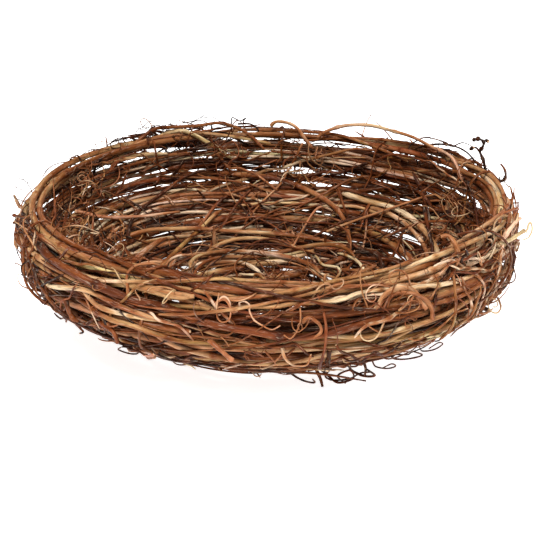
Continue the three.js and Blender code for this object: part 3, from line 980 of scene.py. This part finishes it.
wrap_plan = [(route, wrap_rng.uniform(1.3, 2), (0.3, 0.6)) for route in wrap_routes]
wraps = lay(
    wrap_rng, wrap_plan, rounds=20, joint_every=35 * MM, spacing=3 * MM, taper=0.3, kink=0.5 * MM
)
make_piece("wraps", wrap_rng, wraps, stem_bark, sides=7)

# ---------------------------------------------------------------- loose stems
# Stems, side shoots and buds that stand clear of the wall, each one of a kind: sprung over the rim,
# hooked, forked, peeled off in a strap, or curled like wire.
loose_rng = np.random.default_rng(24)
PALE_TENDRIL = srgb(210, 180, 150)
ORANGE_TAN = srgb(165, 110, 72)
tendril_tones = [PALE_TENDRIL, ORANGE_TAN, RUST, RED_BROWN, UMBER]
tendril_skin = bark("tendril_skin", tendril_tones, fibre=1.2, relief=0.2, roughness=0.5)


def shoot(diameter, tone, taper, points, knots=(), flat=1.0):
    """A thin stem through given points, their distance along the wall counted from the rim. Its
    knots are each (share of its length, extra radius in millimetres, share of its length it spans)."""
    points = [(degrees, RIM / MM + along, off) for degrees, along, off in points]
    route = drawn(points, max(24, 8 * len(points)))
    t = run_of(route) / run_of(route)[-1]
    radius = diameter / 2 * (1 - taper * t + 0.06 * wander(loose_rng, t, 8))
    for at, size, span in knots:
        radius = radius + size * np.exp(-(((t - at) / span) ** 2))
    return Stem(route, radius * MM, tone + 0.1 * wander(loose_rng, t, 3), flat)


SHOOT_SIDES = 7
LOOSE = [  # each (node, diameter, tone, taper, points), with knots and flatness where it has them
    ("sprung_rim_stem", 2.7, 0.2, 0.3, [(163.2, 9.2, -7.2), (160.6, 13.4, -6.5), (156, 17.7, -5.5),
        (150.8, 19.5, -4), (145.2, 19.6, -3), (138.5, 17.9, -3), (131, 16.2, -3), (123, 12.6, -3),
        (113.1, 10.9, -4), (106, 2, -7)], [(0.12, 0.4, 0.012), (0.45, 0.45, 0.01), (0.76, 0.4, 0.01)]),
    ("hooked_rim_end", 2.5, 0.3, 0.1, [(165, 0, -8), (168, 9.2, -7.2), (169.6, 14.2, -6.2),
        (171.6, 16.6, -4.5), (174.1, 17.1, -2.5), (176.6, 16.1, -1), (178.1, 12.7, -1)], [(0.3, 0.4, 0.03),
        (1, 0.3, 0.06)]),
    ("bud_shoot", 2.1, 0.95, 0.4, [(105, -2, 8.5), (104, 6.5, 7.2), (102.8, 12.7, 6), (103.1, 18.7, 5),
        (100, 24.4, 5), (98.7, 28.6, 5), (102.9, 27.3, 5), (105.9, 24.6, 5)], [(0.32, 0.5, 0.03),
        (0.5, 0.8, 0.03), (0.68, 0.6, 0.03), (0.86, 1, 0.035), (1, 0.8, 0.04)]),
    ("bud_shoot", 1.4, 1, 0.2, [(102.9, 18.3, 5), (104.4, 20.7, 4), (107.8, 17.6, 4)], [(0.95, 0.9, 0.14)]),
    ("bud_shoot", 1.2, 1, 0.2, [(99.4, 26, 5), (98, 30, 6), (96.4, 30, 6.5)], [(0.9, 0.7, 0.16)]),
    ("hooked_shoot", 2.6, 0.8, 0.5, [(104.1, -5.7, 12), (100.2, -0.6, 12), (96.4, 4, 12),
        (92.4, 10.5, 11.4), (89.4, 17.5, 10.4), (91.3, 19.3, 9.4)], [(0.52, 0.5, 0.05), (0.86, 0.2, 0.05)]),
    ("hooked_shoot", 2.2, 1.1, 0.75, [(101, -8.6, 10), (99.3, -9.9, 12), (96.6, -10.7, 14),
        (92.5, -8.2, 17)]),
    ("forked_shoot", 3.4, -0.1, 0.45, [(60.5, -6, 11), (61.9, 2.2, 13), (62.6, 6.1, 16), (63.9, 9.4, 19),
        (65.5, 11, 22)], [(0.5, 0.4, 0.05)]),
    ("forked_shoot", 3, -0.15, 0.4, [(60.2, 1.1, 11), (62.4, 0.4, 14), (65.1, 0.4, 17), (68.4, 0.7, 20)],
        [(0.6, 0.4, 0.06)]),
    ("forked_shoot", 2, -0.05, 0.5, [(63, 6.9, 17), (64.2, 10.2, 20), (64.9, 14.7, 22)]),
    ("forked_shoot", 1.6, -0.1, 0.5, [(66.2, -3.2, 12), (67.1, -1.6, 17), (68, 0.9, 22), (69, 2.6, 22.5),
        (70.8, 2, 23), (70.8, -2.5, 23), (68.6, -4.4, 22), (65.5, -2.8, 21)]),
    ("forked_shoot", 2.4, 0.5, 0.5, [(65.5, 9, 9), (67.3, 12.6, 10), (68.1, 12.7, 13), (69.9, 12.3, 16),
        (71.5, 10, 17)]),
    ("forked_shoot", 1, 0.15, 0.5, [(62.5, -2, 12), (65, 1, 16), (69, -1, 19), (72, -7, 20)]),
    ("arching_runner", 1.7, 0.85, 0.4, [(51.4, 15.3, 0), (53.5, 15.1, 4), (55, 14.5, 8), (57.2, 12.4, 11),
        (58.6, 9, 13.5), (61, 2.8, 15), (62.6, -4.5, 15.2), (62.3, -10.5, 15), (59.4, -14.8, 14.8),
        (56, -17.2, 14), (52.9, -18.5, 13), (49.5, -19.2, 12.3)], [(0.3, 0.25, 0.02), (0.62, 0.25, 0.02)]),
    ("left_runner", 1.9, 0.85, 0.4, [(-66.5, -2, 11.5), (-65.1, -6.4, 12), (-60.1, -11.3, 12.5),
        (-57.2, -16.3, 12.7), (-54.2, -19.1, 12.7), (-51.9, -21.9, 12.6), (-48, -24.7, 12), (-44, -27, 11)],
        [(0.3, 0.3, 0.02), (0.6, 0.3, 0.02)]),
    ("left_runner", 1.1, 0.95, 0.4, [(-61.5, -9, 12), (-62.4, -10.4, 13), (-62.9, -12.4, 15.5),
        (-62.5, -15.1, 16.5), (-60.8, -17.4, 15.5), (-57.7, -18.6, 13)]),
    ("left_runner", 1.6, 0.9, 0.7, [(-54.3, -21.8, 12), (-53, -21.3, 15), (-52.6, -21.2, 17)]),
    ("left_runner", 1.3, 0.8, 0.6, [(-55.5, -17.5, 11), (-55.3, -19.5, 13), (-55.6, -21.2, 15),
        (-53.9, -21.7, 16)]),
    ("left_sprig", 2.1, 0.9, 0.5, [(-68, 4, 9), (-69.7, 8.2, 11.5), (-70.8, 8.7, 15), (-73.3, 6.9, 17.5)],
        [(0.9, 0.6, 0.1)]),
    ("left_sprig", 1.5, 0.95, 0.5, [(-71.6, 3.1, 8), (-71, 4.8, 12), (-71.2, 5.5, 15), (-72.2, 3.1, 17)],
        [(1, 0.5, 0.1)]),
    ("left_sprig", 1.2, 0.9, 0.5, [(-68.3, -0.3, 9), (-70.1, -0.5, 12), (-71.8, 1.6, 15), (-73, 7.2, 16)]),
    ("left_sprig", 1, 0.8, 0.5, [(-64.6, -0.4, 10), (-65.1, -4.8, 13), (-68.4, -6, 15), (-70.4, -3.8, 16),
        (-71.4, -2.1, 14)]),
    ("left_sprig", 1.4, 0.7, 0.6, [(-62.7, -6.1, 10), (-64.4, -9.6, 12), (-67.1, -9.6, 14),
        (-70, -8.8, 14)]),
    ("poking_stick", 2.2, 0.75, 0.6, [(-3, -78, 10.5), (5, -75.4, 11.4), (12, -73.4, 12.7),
        (18.5, -71.4, 15.2), (24, -69.9, 18.7), (29.5, -68.4, 23)], [(0.35, 0.3, 0.015)]),
    ("poking_stick", 2.6, 1, 0.3, [(13.3, -24, 11), (13, -27.2, 15), (12.5, -27.7, 20)], [(0.5, 0.5, 0.12),
        (0.95, 0.6, 0.1)]),
    ("peeled_strap", 3.6, 0.3, 0.2, [(22.6, -9, 11.4), (23.4, -6.1, 12), (24.5, -2.2, 12.8),
        (26.3, 0.9, 13.5), (28.5, 1.6, 14), (30.8, -2.2, 13.5), (32.6, -7.4, 12.8), (34.3, -13.4, 12)],
        [(0.5, 0.4, 0.2)], 0.32),
    ("peeled_strap", 3.4, 0.42, 0.3, [(24, -10, 11), (27, -2.5, 12), (31, -4, 14.5), (34.5, -11, 14),
        (36, -19, 11)], (), 0.35),
    ("curled_tendril", 1.3, 0.12, 0.4, [(-9, -10, 11.5), (-10, -6, 12.5), (-9, -2, 13.5), (-8, 0, 14),
        (-7, -3, 13.5), (-6.8, -7, 12.5), (-6, -8, 12), (-5, -6, 12.5), (-5, -3, 13.5), (-4, -2, 14),
        (-3, -4, 13.5), (-3, -7, 13), (-2, -11, 12.5), (0, -14, 12.5), (1.5, -15, 13), (3, -13, 13.5)]),
    ("curled_tendril", 1, 0.25, 0.3, [(-9, -8, 11), (-9.5, -4, 13), (-8, -2, 14), (-6.8, -6, 14),
        (-7, -11, 13), (-8.5, -13, 12.5), (-9.5, -10, 13), (-9, -6, 13.5), (-6, -7, 13)]),
    ("curled_tendril", 1.1, 0.2, 0.4, [(7, -4, 12), (7, -10, 13.5), (6.3, -15, 14), (5, -18, 14),
        (3.7, -17, 13)]),
    ("curly_shoot", 1.7, 0.9, 0.4, [(14.5, -22, 10.5), (15.7, -24.4, 11.8), (18, -25.6, 14),
        (20.4, -30.5, 15), (21.3, -26.5, 15.5), (22.8, -24.6, 15), (25.6, -28.1, 14), (27.5, -27.3, 13),
        (29, -24, 12.5)], [(0.3, 0.4, 0.03), (0.6, 0.4, 0.03)]),
    ("curly_shoot", 1.2, 0.95, 0.5, [(17, -30, 12), (18, -24, 19), (21, -22, 21), (24, -24, 18),
        (27, -25, 15)]),
    ("curly_shoot", 1.1, 0.85, 0.5, [(24, -27, 13), (27, -31, 16), (31, -26, 17), (33, -24, 15),
        (35, -27, 13)]),
]
loose_stems = {}
for loose_node, *loose_shape in LOOSE:
    loose_stems.setdefault(loose_node, []).append(shoot(*loose_shape))
for loose_node, loose_group in loose_stems.items():
    loose_piece = loose_node + "_bark"
    make_piece(loose_piece, loose_rng, loose_group, tendril_skin, SHOOT_SIDES, [loose_node])

# ---------------------------------------------------------------- side shoots
# Broken side shoots, hooks and bows of bark on the front and inside, dark, wiry roots that hang in
# hooks and loops under the front, and hair-thin ends that stand over the far rim.
SIDE_SHOOTS = [  # each (diameter, tone, taper, points), with knots and flatness where it has them
    (2.4, 0.35, 0.4, [(7.5, -12, 11), (8, -10, 13), (9, -9.5, 14), (10.5, -12, 14), (11, -16, 13.5),
        (9.5, -18.5, 12.5)]),
    (3.2, 0.22, 0.3, [(3.5, -22, 11), (4, -24.5, 14), (6, -27.5, 16), (8.5, -27.5, 16), (9.3, -24, 13)], (),
        0.35),
    (3, 0.25, 0.3, [(-11.4, -21.1, 10), (-9.8, -21.6, 13), (-8.1, -22.9, 15), (-6.5, -25, 16)],
        [(0.95, 0.4, 0.1)]),
    (1.1, 0.5, 0.35, [(0, -23, 11.5), (1.3, -25.5, 13), (2, -27.5, 14), (2.2, -30, 14)]),
    (1.1, 0.5, 0.35, [(4, -22.5, 11.5), (2.8, -25.5, 13), (2, -27.5, 14)]),
    (3.2, 0.8, 0.1, [(66.6, -42.4, 10), (65.5, -38.6, 12), (64.8, -35.9, 14), (62.4, -32.1, 15)]),
    (1.1, 1, 0.3, [(61.6, -74.3, 10), (63.4, -72.6, 12), (60.1, -68, 14), (53.2, -58.5, 15),
        (51.6, -52, 15), (58.7, -58.9, 15)]),
    (1, 1, 0.3, [(36, -62, 11), (39, -60, 13), (41, -57, 15), (44, -60, 15), (47, -57, 15), (48, -52, 14)]),
    (2.8, 0.5, 0.2, [(-35, -21.6, 10), (-33.8, -23.3, 12), (-32.7, -24.6, 14)], [(0.9, 0.5, 0.1)]),
    (2, 0.35, 0.3, [(-36.8, -57.4, 10), (-34.8, -59.3, 13), (-31, -50, 14.5), (-27, -42, 14)]),
    (1.7, 1, 0.3, [(-32, -52, 11), (-27, -50, 12.5), (-22, -46, 13), (-17, -45, 13), (-11, -48, 12)]),
    (4.2, 0.3, 0.5, [(45.8, -1.9, 8), (46, 4, 8.4), (46.4, 9.6, 8), (46.3, 14.8, 7), (46, 19.1, 4),
        (44.9, 19.3, 1)], [(0.3, 0.4, 0.06)]),
    (2, 0.35, 0.3, [(-29, -8, 12), (-30, 1, 11.4), (-30, 5, 10), (-29, 8.5, 7), (-27, 10, 3.5),
        (-26, 9.6, 0), (-25, 7, -5), (-22, -2, -10)]),
    (1.5, 0.95, 0.3, [(133.1, 1.6, -2), (130.6, 6.8, 0), (123.3, 12.5, 1), (116, 15.1, 2), (110.3, 14.3, 3),
        (107.4, 9, 5), (106.8, 0.9, 8), (106.8, -6.2, 11)], [(0.5, 0.4, 0.02)]),
    (1, 0.95, 0.5, [(116.1, 14.4, 2), (111.1, 19.8, 3), (104.7, 20.8, 3)], [(1, 0.5, 0.08)]),
    (1.2, 0.85, 0.3, [(134, 4, -2), (132.6, 9, 0), (128, 15, 1), (123.8, 16.2, 1), (119.9, 16.1, 1),
        (118.2, 14.9, 1)], [(1, 0.8, 0.08)]),
    (3, 0.7, 0.3, [(-47.4, -18.4, 10), (-46.2, -20.7, 12), (-44.5, -22.3, 14), (-43.7, -23.8, 13)],
        [(0.8, 0.5, 0.1)]),
    (3, 0.75, 0.3, [(-37.6, -22.7, 10), (-34.8, -22.9, 12), (-32.7, -23, 14), (-32.4, -25.9, 15.5)],
        [(1, 0.4, 0.1)]),
    (3.4, 0.4, 0.3, [(-35.2, -40, 10), (-31.6, -41.6, 13), (-28.7, -37.9, 15), (-24.5, -30, 15)], (), 0.3),
    (1.6, 1, 0.3, [(-28, -42, 11), (-24.2, -38.6, 13.5), (-19.3, -34.3, 15), (-15.2, -34.7, 13)]),
    (1.8, 0.3, 0.3, [(150, -84, -14), (146, -78, -14), (134, -62, -16), (124, -41, -15), (112, -12, -13),
        (105, 2, -8)]),
    (1.7, 0.4, 0.3, [(168, 4, -8), (169, 0, -10), (172, -17, -11.5), (174, -39, -12), (180, -57, -12),
        (189, -80, -12)]),
    (1.8, 0.3, 0.3, [(158, -60, -12), (160, -67, -13), (163, -95, -14), (165, -107, -14)]),
    (2.2, 0.6, 0.3, [(140, -10, -10), (150, -30, -13), (160, -52, -13.5), (168, -66, -13.5)],
        [(0.5, 0.3, 0.02)]),
    (2, 0.45, 0.3, [(196, 2, -9), (190, -20, -12), (181, -38, -13), (176, -48, -13)]),
    (2.6, 0.2, 0.3, [(-110, -30, -11), (-118, -48, -13), (-132, -60, -14), (-146, -64, -14)],
        [(0.4, 0.4, 0.02)]),
    (2.2, 0.5, 0.3, [(-70, -20, -11), (-84, -40, -13), (-94, -64, -14), (-100, -80, -15)]),
    (2.4, 0.7, 0.3, [(88, -12, -10), (98, -34, -13), (112, -52, -14), (120, -76, -15)]),
]
ROOTS = [  # each (diameter, points)
    (1.4, [(8, -84, 11), (11, -86, 15), (14, -84, 18), (16, -80, 19), (15, -77, 17)]),
    (2.2, [(17, -79, 12), (18, -80, 17), (18.5, -81, 22)]),
    (1.5, [(18, -76, 12), (21, -81, 16), (23, -77, 21), (27, -73, 20), (25, -67, 15), (22, -72, 17),
        (25, -76, 22)]),
    (1.7, [(25, -66, 12), (27, -73, 15), (30, -71, 20), (31, -63, 21), (28, -60, 16)]),
    (1.9, [(29, -64, 12), (30, -67, 16), (30, -70, 20)]),
    (1.4, [(20, -70, 12), (19, -76, 16), (22, -80, 19), (27, -78, 20), (30, -73, 18), (33, -72, 19)]),
    (1.1, [(30, -58, 12), (32, -63, 16), (35, -62, 19), (36, -57, 19), (34, -54, 17), (32, -57, 18)]),
    (1.3, [(36, -52, 12), (37, -60, 14), (40, -58, 17), (42, -49, 18), (39, -47, 14)]),
    (1.0, [(41, -46, 12), (44, -52, 16), (47, -50, 18), (48, -45, 17), (46, -43, 15), (44, -47, 16)]),
    (1.2, [(-38, -60, 11), (-41, -66, 14), (-45, -68, 16), (-47, -63, 16), (-45, -60, 14)]),
    (1.6, [(-60, -44, 11), (-61, -50, 14), (-59, -54, 16), (-57, -50, 17)]),
]
RIM_HAIRS = [  # each (diameter, points)
    (0.6, [(-141, 9.9, 1), (-141.4, 13.8, 2), (-143.3, 16, 2), (-145.1, 19.1, 2), (-147.4, 19.5, 1),
        (-149.2, 18, 0), (-150.3, 22.2, 0), (-151.4, 21.7, -1), (-151.1, 16.1, -2)]),
    (0.8, [(-138.9, 3.5, 2), (-133.6, 4.9, 2), (-133.4, 9.1, 3), (-136.1, 10.6, 3), (-138.7, 8.2, 2)]),
    (0.7, [(-157.7, 15, 0), (-159.6, 16.5, 1), (-161.8, 16.1, 1), (-163.2, 14.9, 0), (-164.8, 16.1, -1),
        (-164.8, 18.5, -1)]),
    (0.6, [(-161.9, 19, 0), (-164.3, 19.5, 0), (-166.6, 16.7, -1), (-168.4, 14.8, -2)]),
    (1.0, [(-170.3, 8, -1), (-170.3, 18.3, 0), (-172.7, 15.3, 1), (-174.5, 17.7, 1), (-173.6, 15.1, 0),
        (-174.8, 13.5, 0)]),
    (1.4, [(-172.1, 13.5, 0), (-175.7, 12.9, 1), (-177.7, 9.7, 1), (-178.6, 6.3, 0), (-180.4, 6.9, -1)]),
    (0.6, [(-118, 6.1, 4), (-122.1, 5.4, 5), (-125.3, 6.7, 5), (-128, 6.8, 4), (-130.7, 4.7, 3),
        (-132.5, 5.6, 2)]),
    (0.6, [(-100, 2.8, 6), (-107, 1.5, 7), (-111.6, 0.9, 7), (-114.7, 3.6, 6), (-117.2, 4.5, 4)]),
    (1.6, [(-144.2, 6, -4), (-144.2, 9.2, -2), (-145.9, 11.4, 0), (-145.5, 12.6, 1)]),
]
ROOT_TONE, HAIR_TONE, WIRY_TAPER = 0.85, 1.05, 0.3
side_shoots = [shoot(*shape) for shape in SIDE_SHOOTS]
side_shoots += [shoot(diameter, ROOT_TONE, WIRY_TAPER, points) for diameter, points in ROOTS]
side_shoots += [shoot(diameter, HAIR_TONE, WIRY_TAPER, points) for diameter, points in RIM_HAIRS]
make_piece("side_shoots", loose_rng, side_shoots, tendril_skin, SHOOT_SIDES)

# ---------------------------------------------------------------- tendrils
# The vine's own tendrils, as thin as wire, which dried in hooks and coils on the wall, round the rim
# and inside the bowl.
WIDEST, HIGHEST, LOWEST_HANG = 159 * MM, 101 * MM, 17 * MM  # how far out, up and under the wall
ROUND_THE_WALL = (1, 0.5, 0.4)  # how far they lean round the nest, along the wall and off it


def curl(rng, starts, headings, lengths, tightness, steps):
    """Routes that leave their starts nearly straight and coil up towards their tips, some of them with
    a turn the other way on the way there."""
    count = len(starts)
    heading = headings / np.linalg.norm(headings, axis=1)[:, None]
    inward = np.cross(heading, rng.normal(size=(count, 3)))
    inward /= np.linalg.norm(inward, axis=1)[:, None]
    stride = (lengths / steps)[:, None]
    twist = rng.normal(0, 70, (count, 1))
    late = rng.uniform(0.5, 2.6, count)
    turns_back = np.where(rng.random(count) < 0.35, rng.uniform(0.3, 0.8, count), 2)
    points = [starts]
    for step in range(steps):
        share = step / steps
        way = np.where(share < turns_back, 1, -1)
        bend = (way * (20 + tightness * share**late) + 50 * rng.normal(size=count) * (share > 0.1))[:, None]
        heading = heading + inward * bend * stride
        heading /= np.linalg.norm(heading, axis=1)[:, None]
        inward = inward + np.cross(heading, inward) * twist * stride
        inward -= heading * (heading * inward).sum(axis=1)[:, None]
        inward /= np.linalg.norm(inward, axis=1)[:, None]
        points.append(points[-1] + heading * stride)
    return np.stack(points, axis=1)


def sprout(rng, degrees, along, off, lengths, radii, tightness, tones, lean=ROUND_THE_WALL, steps=27):
    """Tendrils that start at places on the nest. lean is how far their headings go round the nest,
    along the wall and off it. Those that would reach too far out or under the nest are left out."""
    side = np.sign(off)
    start = place(degrees, along * MM, off * MM)
    round_it = place(degrees + 1, along * MM, off * MM) - start
    up_it = place(degrees, (along + 1) * MM, off * MM) - start
    off_it = place(degrees, along * MM, (off + side) * MM) - start
    heading = sum(
        amount * way / np.linalg.norm(way, axis=1)[:, None] * draw[:, None]
        for amount, way, draw in (
            (lean[0], round_it, rng.normal(size=len(start))),
            (lean[1], up_it, rng.normal(0.3, 1, len(start))),
            (lean[2], off_it, rng.uniform(0.3, 1.3, len(start))),
        )
    )
    belly = np.argmax(wall[:, 0])
    stems = []
    for route, radius, tone in zip(curl(rng, start, heading, lengths, tightness, steps), radii, tones):
        out = np.hypot(route[:, 0], route[:, 1])
        under = np.interp(out, wall[:belly, 0], wall[:belly, 1]) - LOWEST_HANG
        low_enough = route[:, 2].max() < HIGHEST
        high_enough = (route[:, 2] > np.maximum(under, MM)).all()
        if out.max() < WIDEST and low_enough and high_enough:
            taper = np.linspace(1, 0.45, len(route))
            stems.append(Stem(route, radius * taper, tone + 0.1 * wander(rng, taper, 2)))
    return stems


tendril_rng = np.random.default_rng(31)


def scatter(count, degrees, along, off, length, thickness, tightness, tone, lean=ROUND_THE_WALL):
    """Tendrils scattered over a stretch of the nest. Each range is (lowest, highest)."""
    draw = tendril_rng.uniform
    return sprout(
        tendril_rng,
        draw(*degrees, count),
        draw(*along, count),
        draw(*off, count),
        draw(*length, count) * MM,
        draw(*thickness, count) / 2 * MM,
        draw(*tightness, count),
        draw(*tone, count),
        lean,
    )


tendrils = []
for tendril_bunch in (
    (230, (0, 360), (92, 182), (8, 12), (12, 42), (0.6, 1.3), (100, 560), (0.1, 0.7)),
    (230, (0, 360), (60, 180), (-12, -8), (14, 50), (0.5, 1.2), (80, 560), (0.15, 0.85)),
    (70, (0, 360), (5, 60), (-20, -9), (14, 40), (0.5, 1.1), (80, 500), (0.2, 0.8)),
    (90, (-70, 70), (120, 180), (10, 12), (10, 30), (0.7, 1.4), (150, 800), (0.15, 0.6), (1, 0.8, 0.5)),
    (260, (0, 360), (172, 185), (-8, 8), (12, 42), (0.4, 0.8), (80, 480), (0.6, 1.1), (1, 0.5, 0.3)),
):
    tendrils += scatter(*tendril_bunch)
make_groups("tendrils", tendril_rng, tendrils, tendril_skin, sides=4, in_a_piece=140)

# ---------------------------------------------------------------- tangles
# Knots of many fine tendrils, which caught each other as they grew: inside the left of the bowl, on
# the rim, and under the front at the right.
tangles = []
for tangle_at, tangle_along, tangle_off, tangle_count, tangle_tone in (
    (-92, 163, -10, 22, 0.55),
    (-84, 140, -11, 22, 0.6),
    (-100, 120, -12, 16, 0.7),
    (-72, 170, -9, 26, 0.35),
    (-118, 168, -9, 20, 0.45),
    (-58, 176, -8, 22, 0.4),
    (-45, 178, -6, 22, 0.5),
    (-30, 181, 3, 14, 0.5),
    (28, 168, 12, 30, 0.45),
    (31, 150, 13, 14, 0.5),
    (66, 176, 0, 26, 0.6),
    (62, 165, 12, 30, 0.6),
    (170, 150, -10, 20, 0.4),
    (100, 150, -11, 18, 0.5),
    (-165, 176, -9, 16, 0.5),
    (206, 180, 2, 20, 0.9),
    (120, 183, 0, 22, 0.95),
    (-158, 184, 0, 22, 1),
    (-144, 182, 3, 18, 1),
    (33, 66, 12, 26, 1),
    (40, 71, 13, 26, 1),
    (47, 77, 13, 22, 1),
    (14, 74, 11, 16, 1),
    (170, 20, -20, 12, 0.7),
    (-140, 120, 11, 14, 0.5),
    (200, 150, 11, 14, 0.5),
):
    tangles += sprout(
        tendril_rng,
        tangle_at + tendril_rng.normal(0, 4, tangle_count),
        tangle_along + tendril_rng.normal(0, 6, tangle_count),
        tangle_off + tendril_rng.normal(0, 1, tangle_count),
        tendril_rng.uniform(14, 48, tangle_count) * MM,
        tendril_rng.uniform(0.5, 1.35, tangle_count) / 2 * MM,
        tendril_rng.uniform(150, 700, tangle_count),
        tangle_tone + tendril_rng.normal(0, 0.24, tangle_count),
    )
make_groups("tangles", tendril_rng, tangles, tendril_skin, sides=4, in_a_piece=200)

# ---------------------------------------------------------------- stubs
# Side shoots broken or cut off short when the vines were cleaned for winding, stiff and knotty, with
# their pale wood bare at the end.
stub_rng = np.random.default_rng(41)
STUBS = 140
stub_degrees = stub_rng.uniform(0, 360, STUBS)
stub_along = stub_rng.uniform(60, 184, STUBS)
stub_side = stub_rng.choice((-1, 1), STUBS)
stub_sprigs = sprout(
    stub_rng,
    stub_degrees,
    stub_along,
    stub_side * 8.5,
    lengths=stub_rng.uniform(7, 19, STUBS) * MM,
    radii=np.full(STUBS, 1 * MM),
    tightness=np.zeros(STUBS),
    tones=np.zeros(STUBS),
    lean=(1, 0.6, 0.7),
    steps=20,
)
stub_tones = stub_rng.uniform(0.3, 1, STUBS)
stub_growth = {"joint_every": 9 * MM, "spacing": 2 * MM, "taper": 0.3}
stubs = []
for stub_sprig, stub_tone in zip(stub_sprigs, stub_tones):
    stub_diameter = stub_rng.uniform(1.2, 2.8) * MM
    stubs.append(grow_cane(stub_rng, stub_sprig.route, stub_diameter, stub_tone, **stub_growth))
make_piece("stubs", stub_rng, stubs, stem_bark, sides=7)

# ---------------------------------------------------------------- bark shreds
# Strips of bark that peeled off the canes as they were bent, and dried thin and curled, rusty on the
# outside.
shred_rng = np.random.default_rng(42)
shred_bark = bark("shred_bark", [STRAW, GOLD, TAN, RUST, RED_BROWN])
SHREDS = 150
SHRED_FLATNESS = 0.14
shreds = []
for shred in sprout(
    shred_rng,
    shred_rng.uniform(0, 360, SHREDS),
    shred_rng.uniform(70, 186, SHREDS),
    shred_rng.choice((-1, 1), SHREDS) * shred_rng.uniform(8, 11, SHREDS),
    lengths=shred_rng.uniform(10, 40, SHREDS) * MM,
    radii=shred_rng.uniform(0.7, 2.2, SHREDS) * MM,
    tightness=shred_rng.uniform(0, 120, SHREDS),
    tones=shred_rng.uniform(0.15, 0.9, SHREDS),
    lean=(1, 0.35, 0.25),
    steps=22,
):
    shred.radius = shred.radius * (0.5 + 0.9 * np.sin(np.linspace(0.3, 2.9, len(shred.route))))
    shred.flat = SHRED_FLATNESS
    shreds.append(shred)
make_piece("bark_shreds", shred_rng, shreds, shred_bark, sides=6)

# ---------------------------------------------------------------- the room
# A plain pale floor and soft studio light: a broad light above and to the left of the camera, a weaker
# one at the right, and a pale room all round.
floor_paint = Paint("pale_floor")
floor_paint.finish(
    Base_Color=(0.93, 0.93, 0.93, 1), Roughness=0.9, Emission_Color=(1, 1, 1, 1), Emission_Strength=0.85
)
FLOOR_HALF = 6
floor_mesh = bpy.data.meshes.new("floor")
floor_corners = [(x * FLOOR_HALF, y * FLOOR_HALF, 0) for x, y in ((-1, -1), (1, -1), (1, 1), (-1, 1))]
floor_mesh.from_pydata(floor_corners, [], [(0, 1, 2, 3)])
floor_mesh.materials.append(floor_paint.material)
floor = bpy.data.objects.new("floor", floor_mesh)
bpy.context.collection.objects.link(floor)

world = bpy.data.worlds.new("pale_room")
world.use_nodes = True
world.node_tree.nodes["Background"].inputs["Color"].default_value = (1, 0.99, 0.98, 1)
world.node_tree.nodes["Background"].inputs["Strength"].default_value = 0.31
bpy.context.scene.world = world

for light_name, light_at, light_size, light_watts in (
    ("key_light", (-0.35, -1.0, 1.5), 0.5, 47),
    ("fill_light", (1.3, -0.9, 0.9), 1.0, 10),
    ("top_light", (0.2, 0.5, 1.7), 0.9, 13),
):
    light_data = bpy.data.lights.new(light_name, "AREA")
    light_data.size = light_size
    light_data.energy = light_watts
    light = bpy.data.objects.new(light_name, light_data)
    light.location = light_at
    light.rotation_euler = (-Vector(light_at)).to_track_quat("-Z", "Y").to_euler()
    bpy.context.collection.objects.link(light)
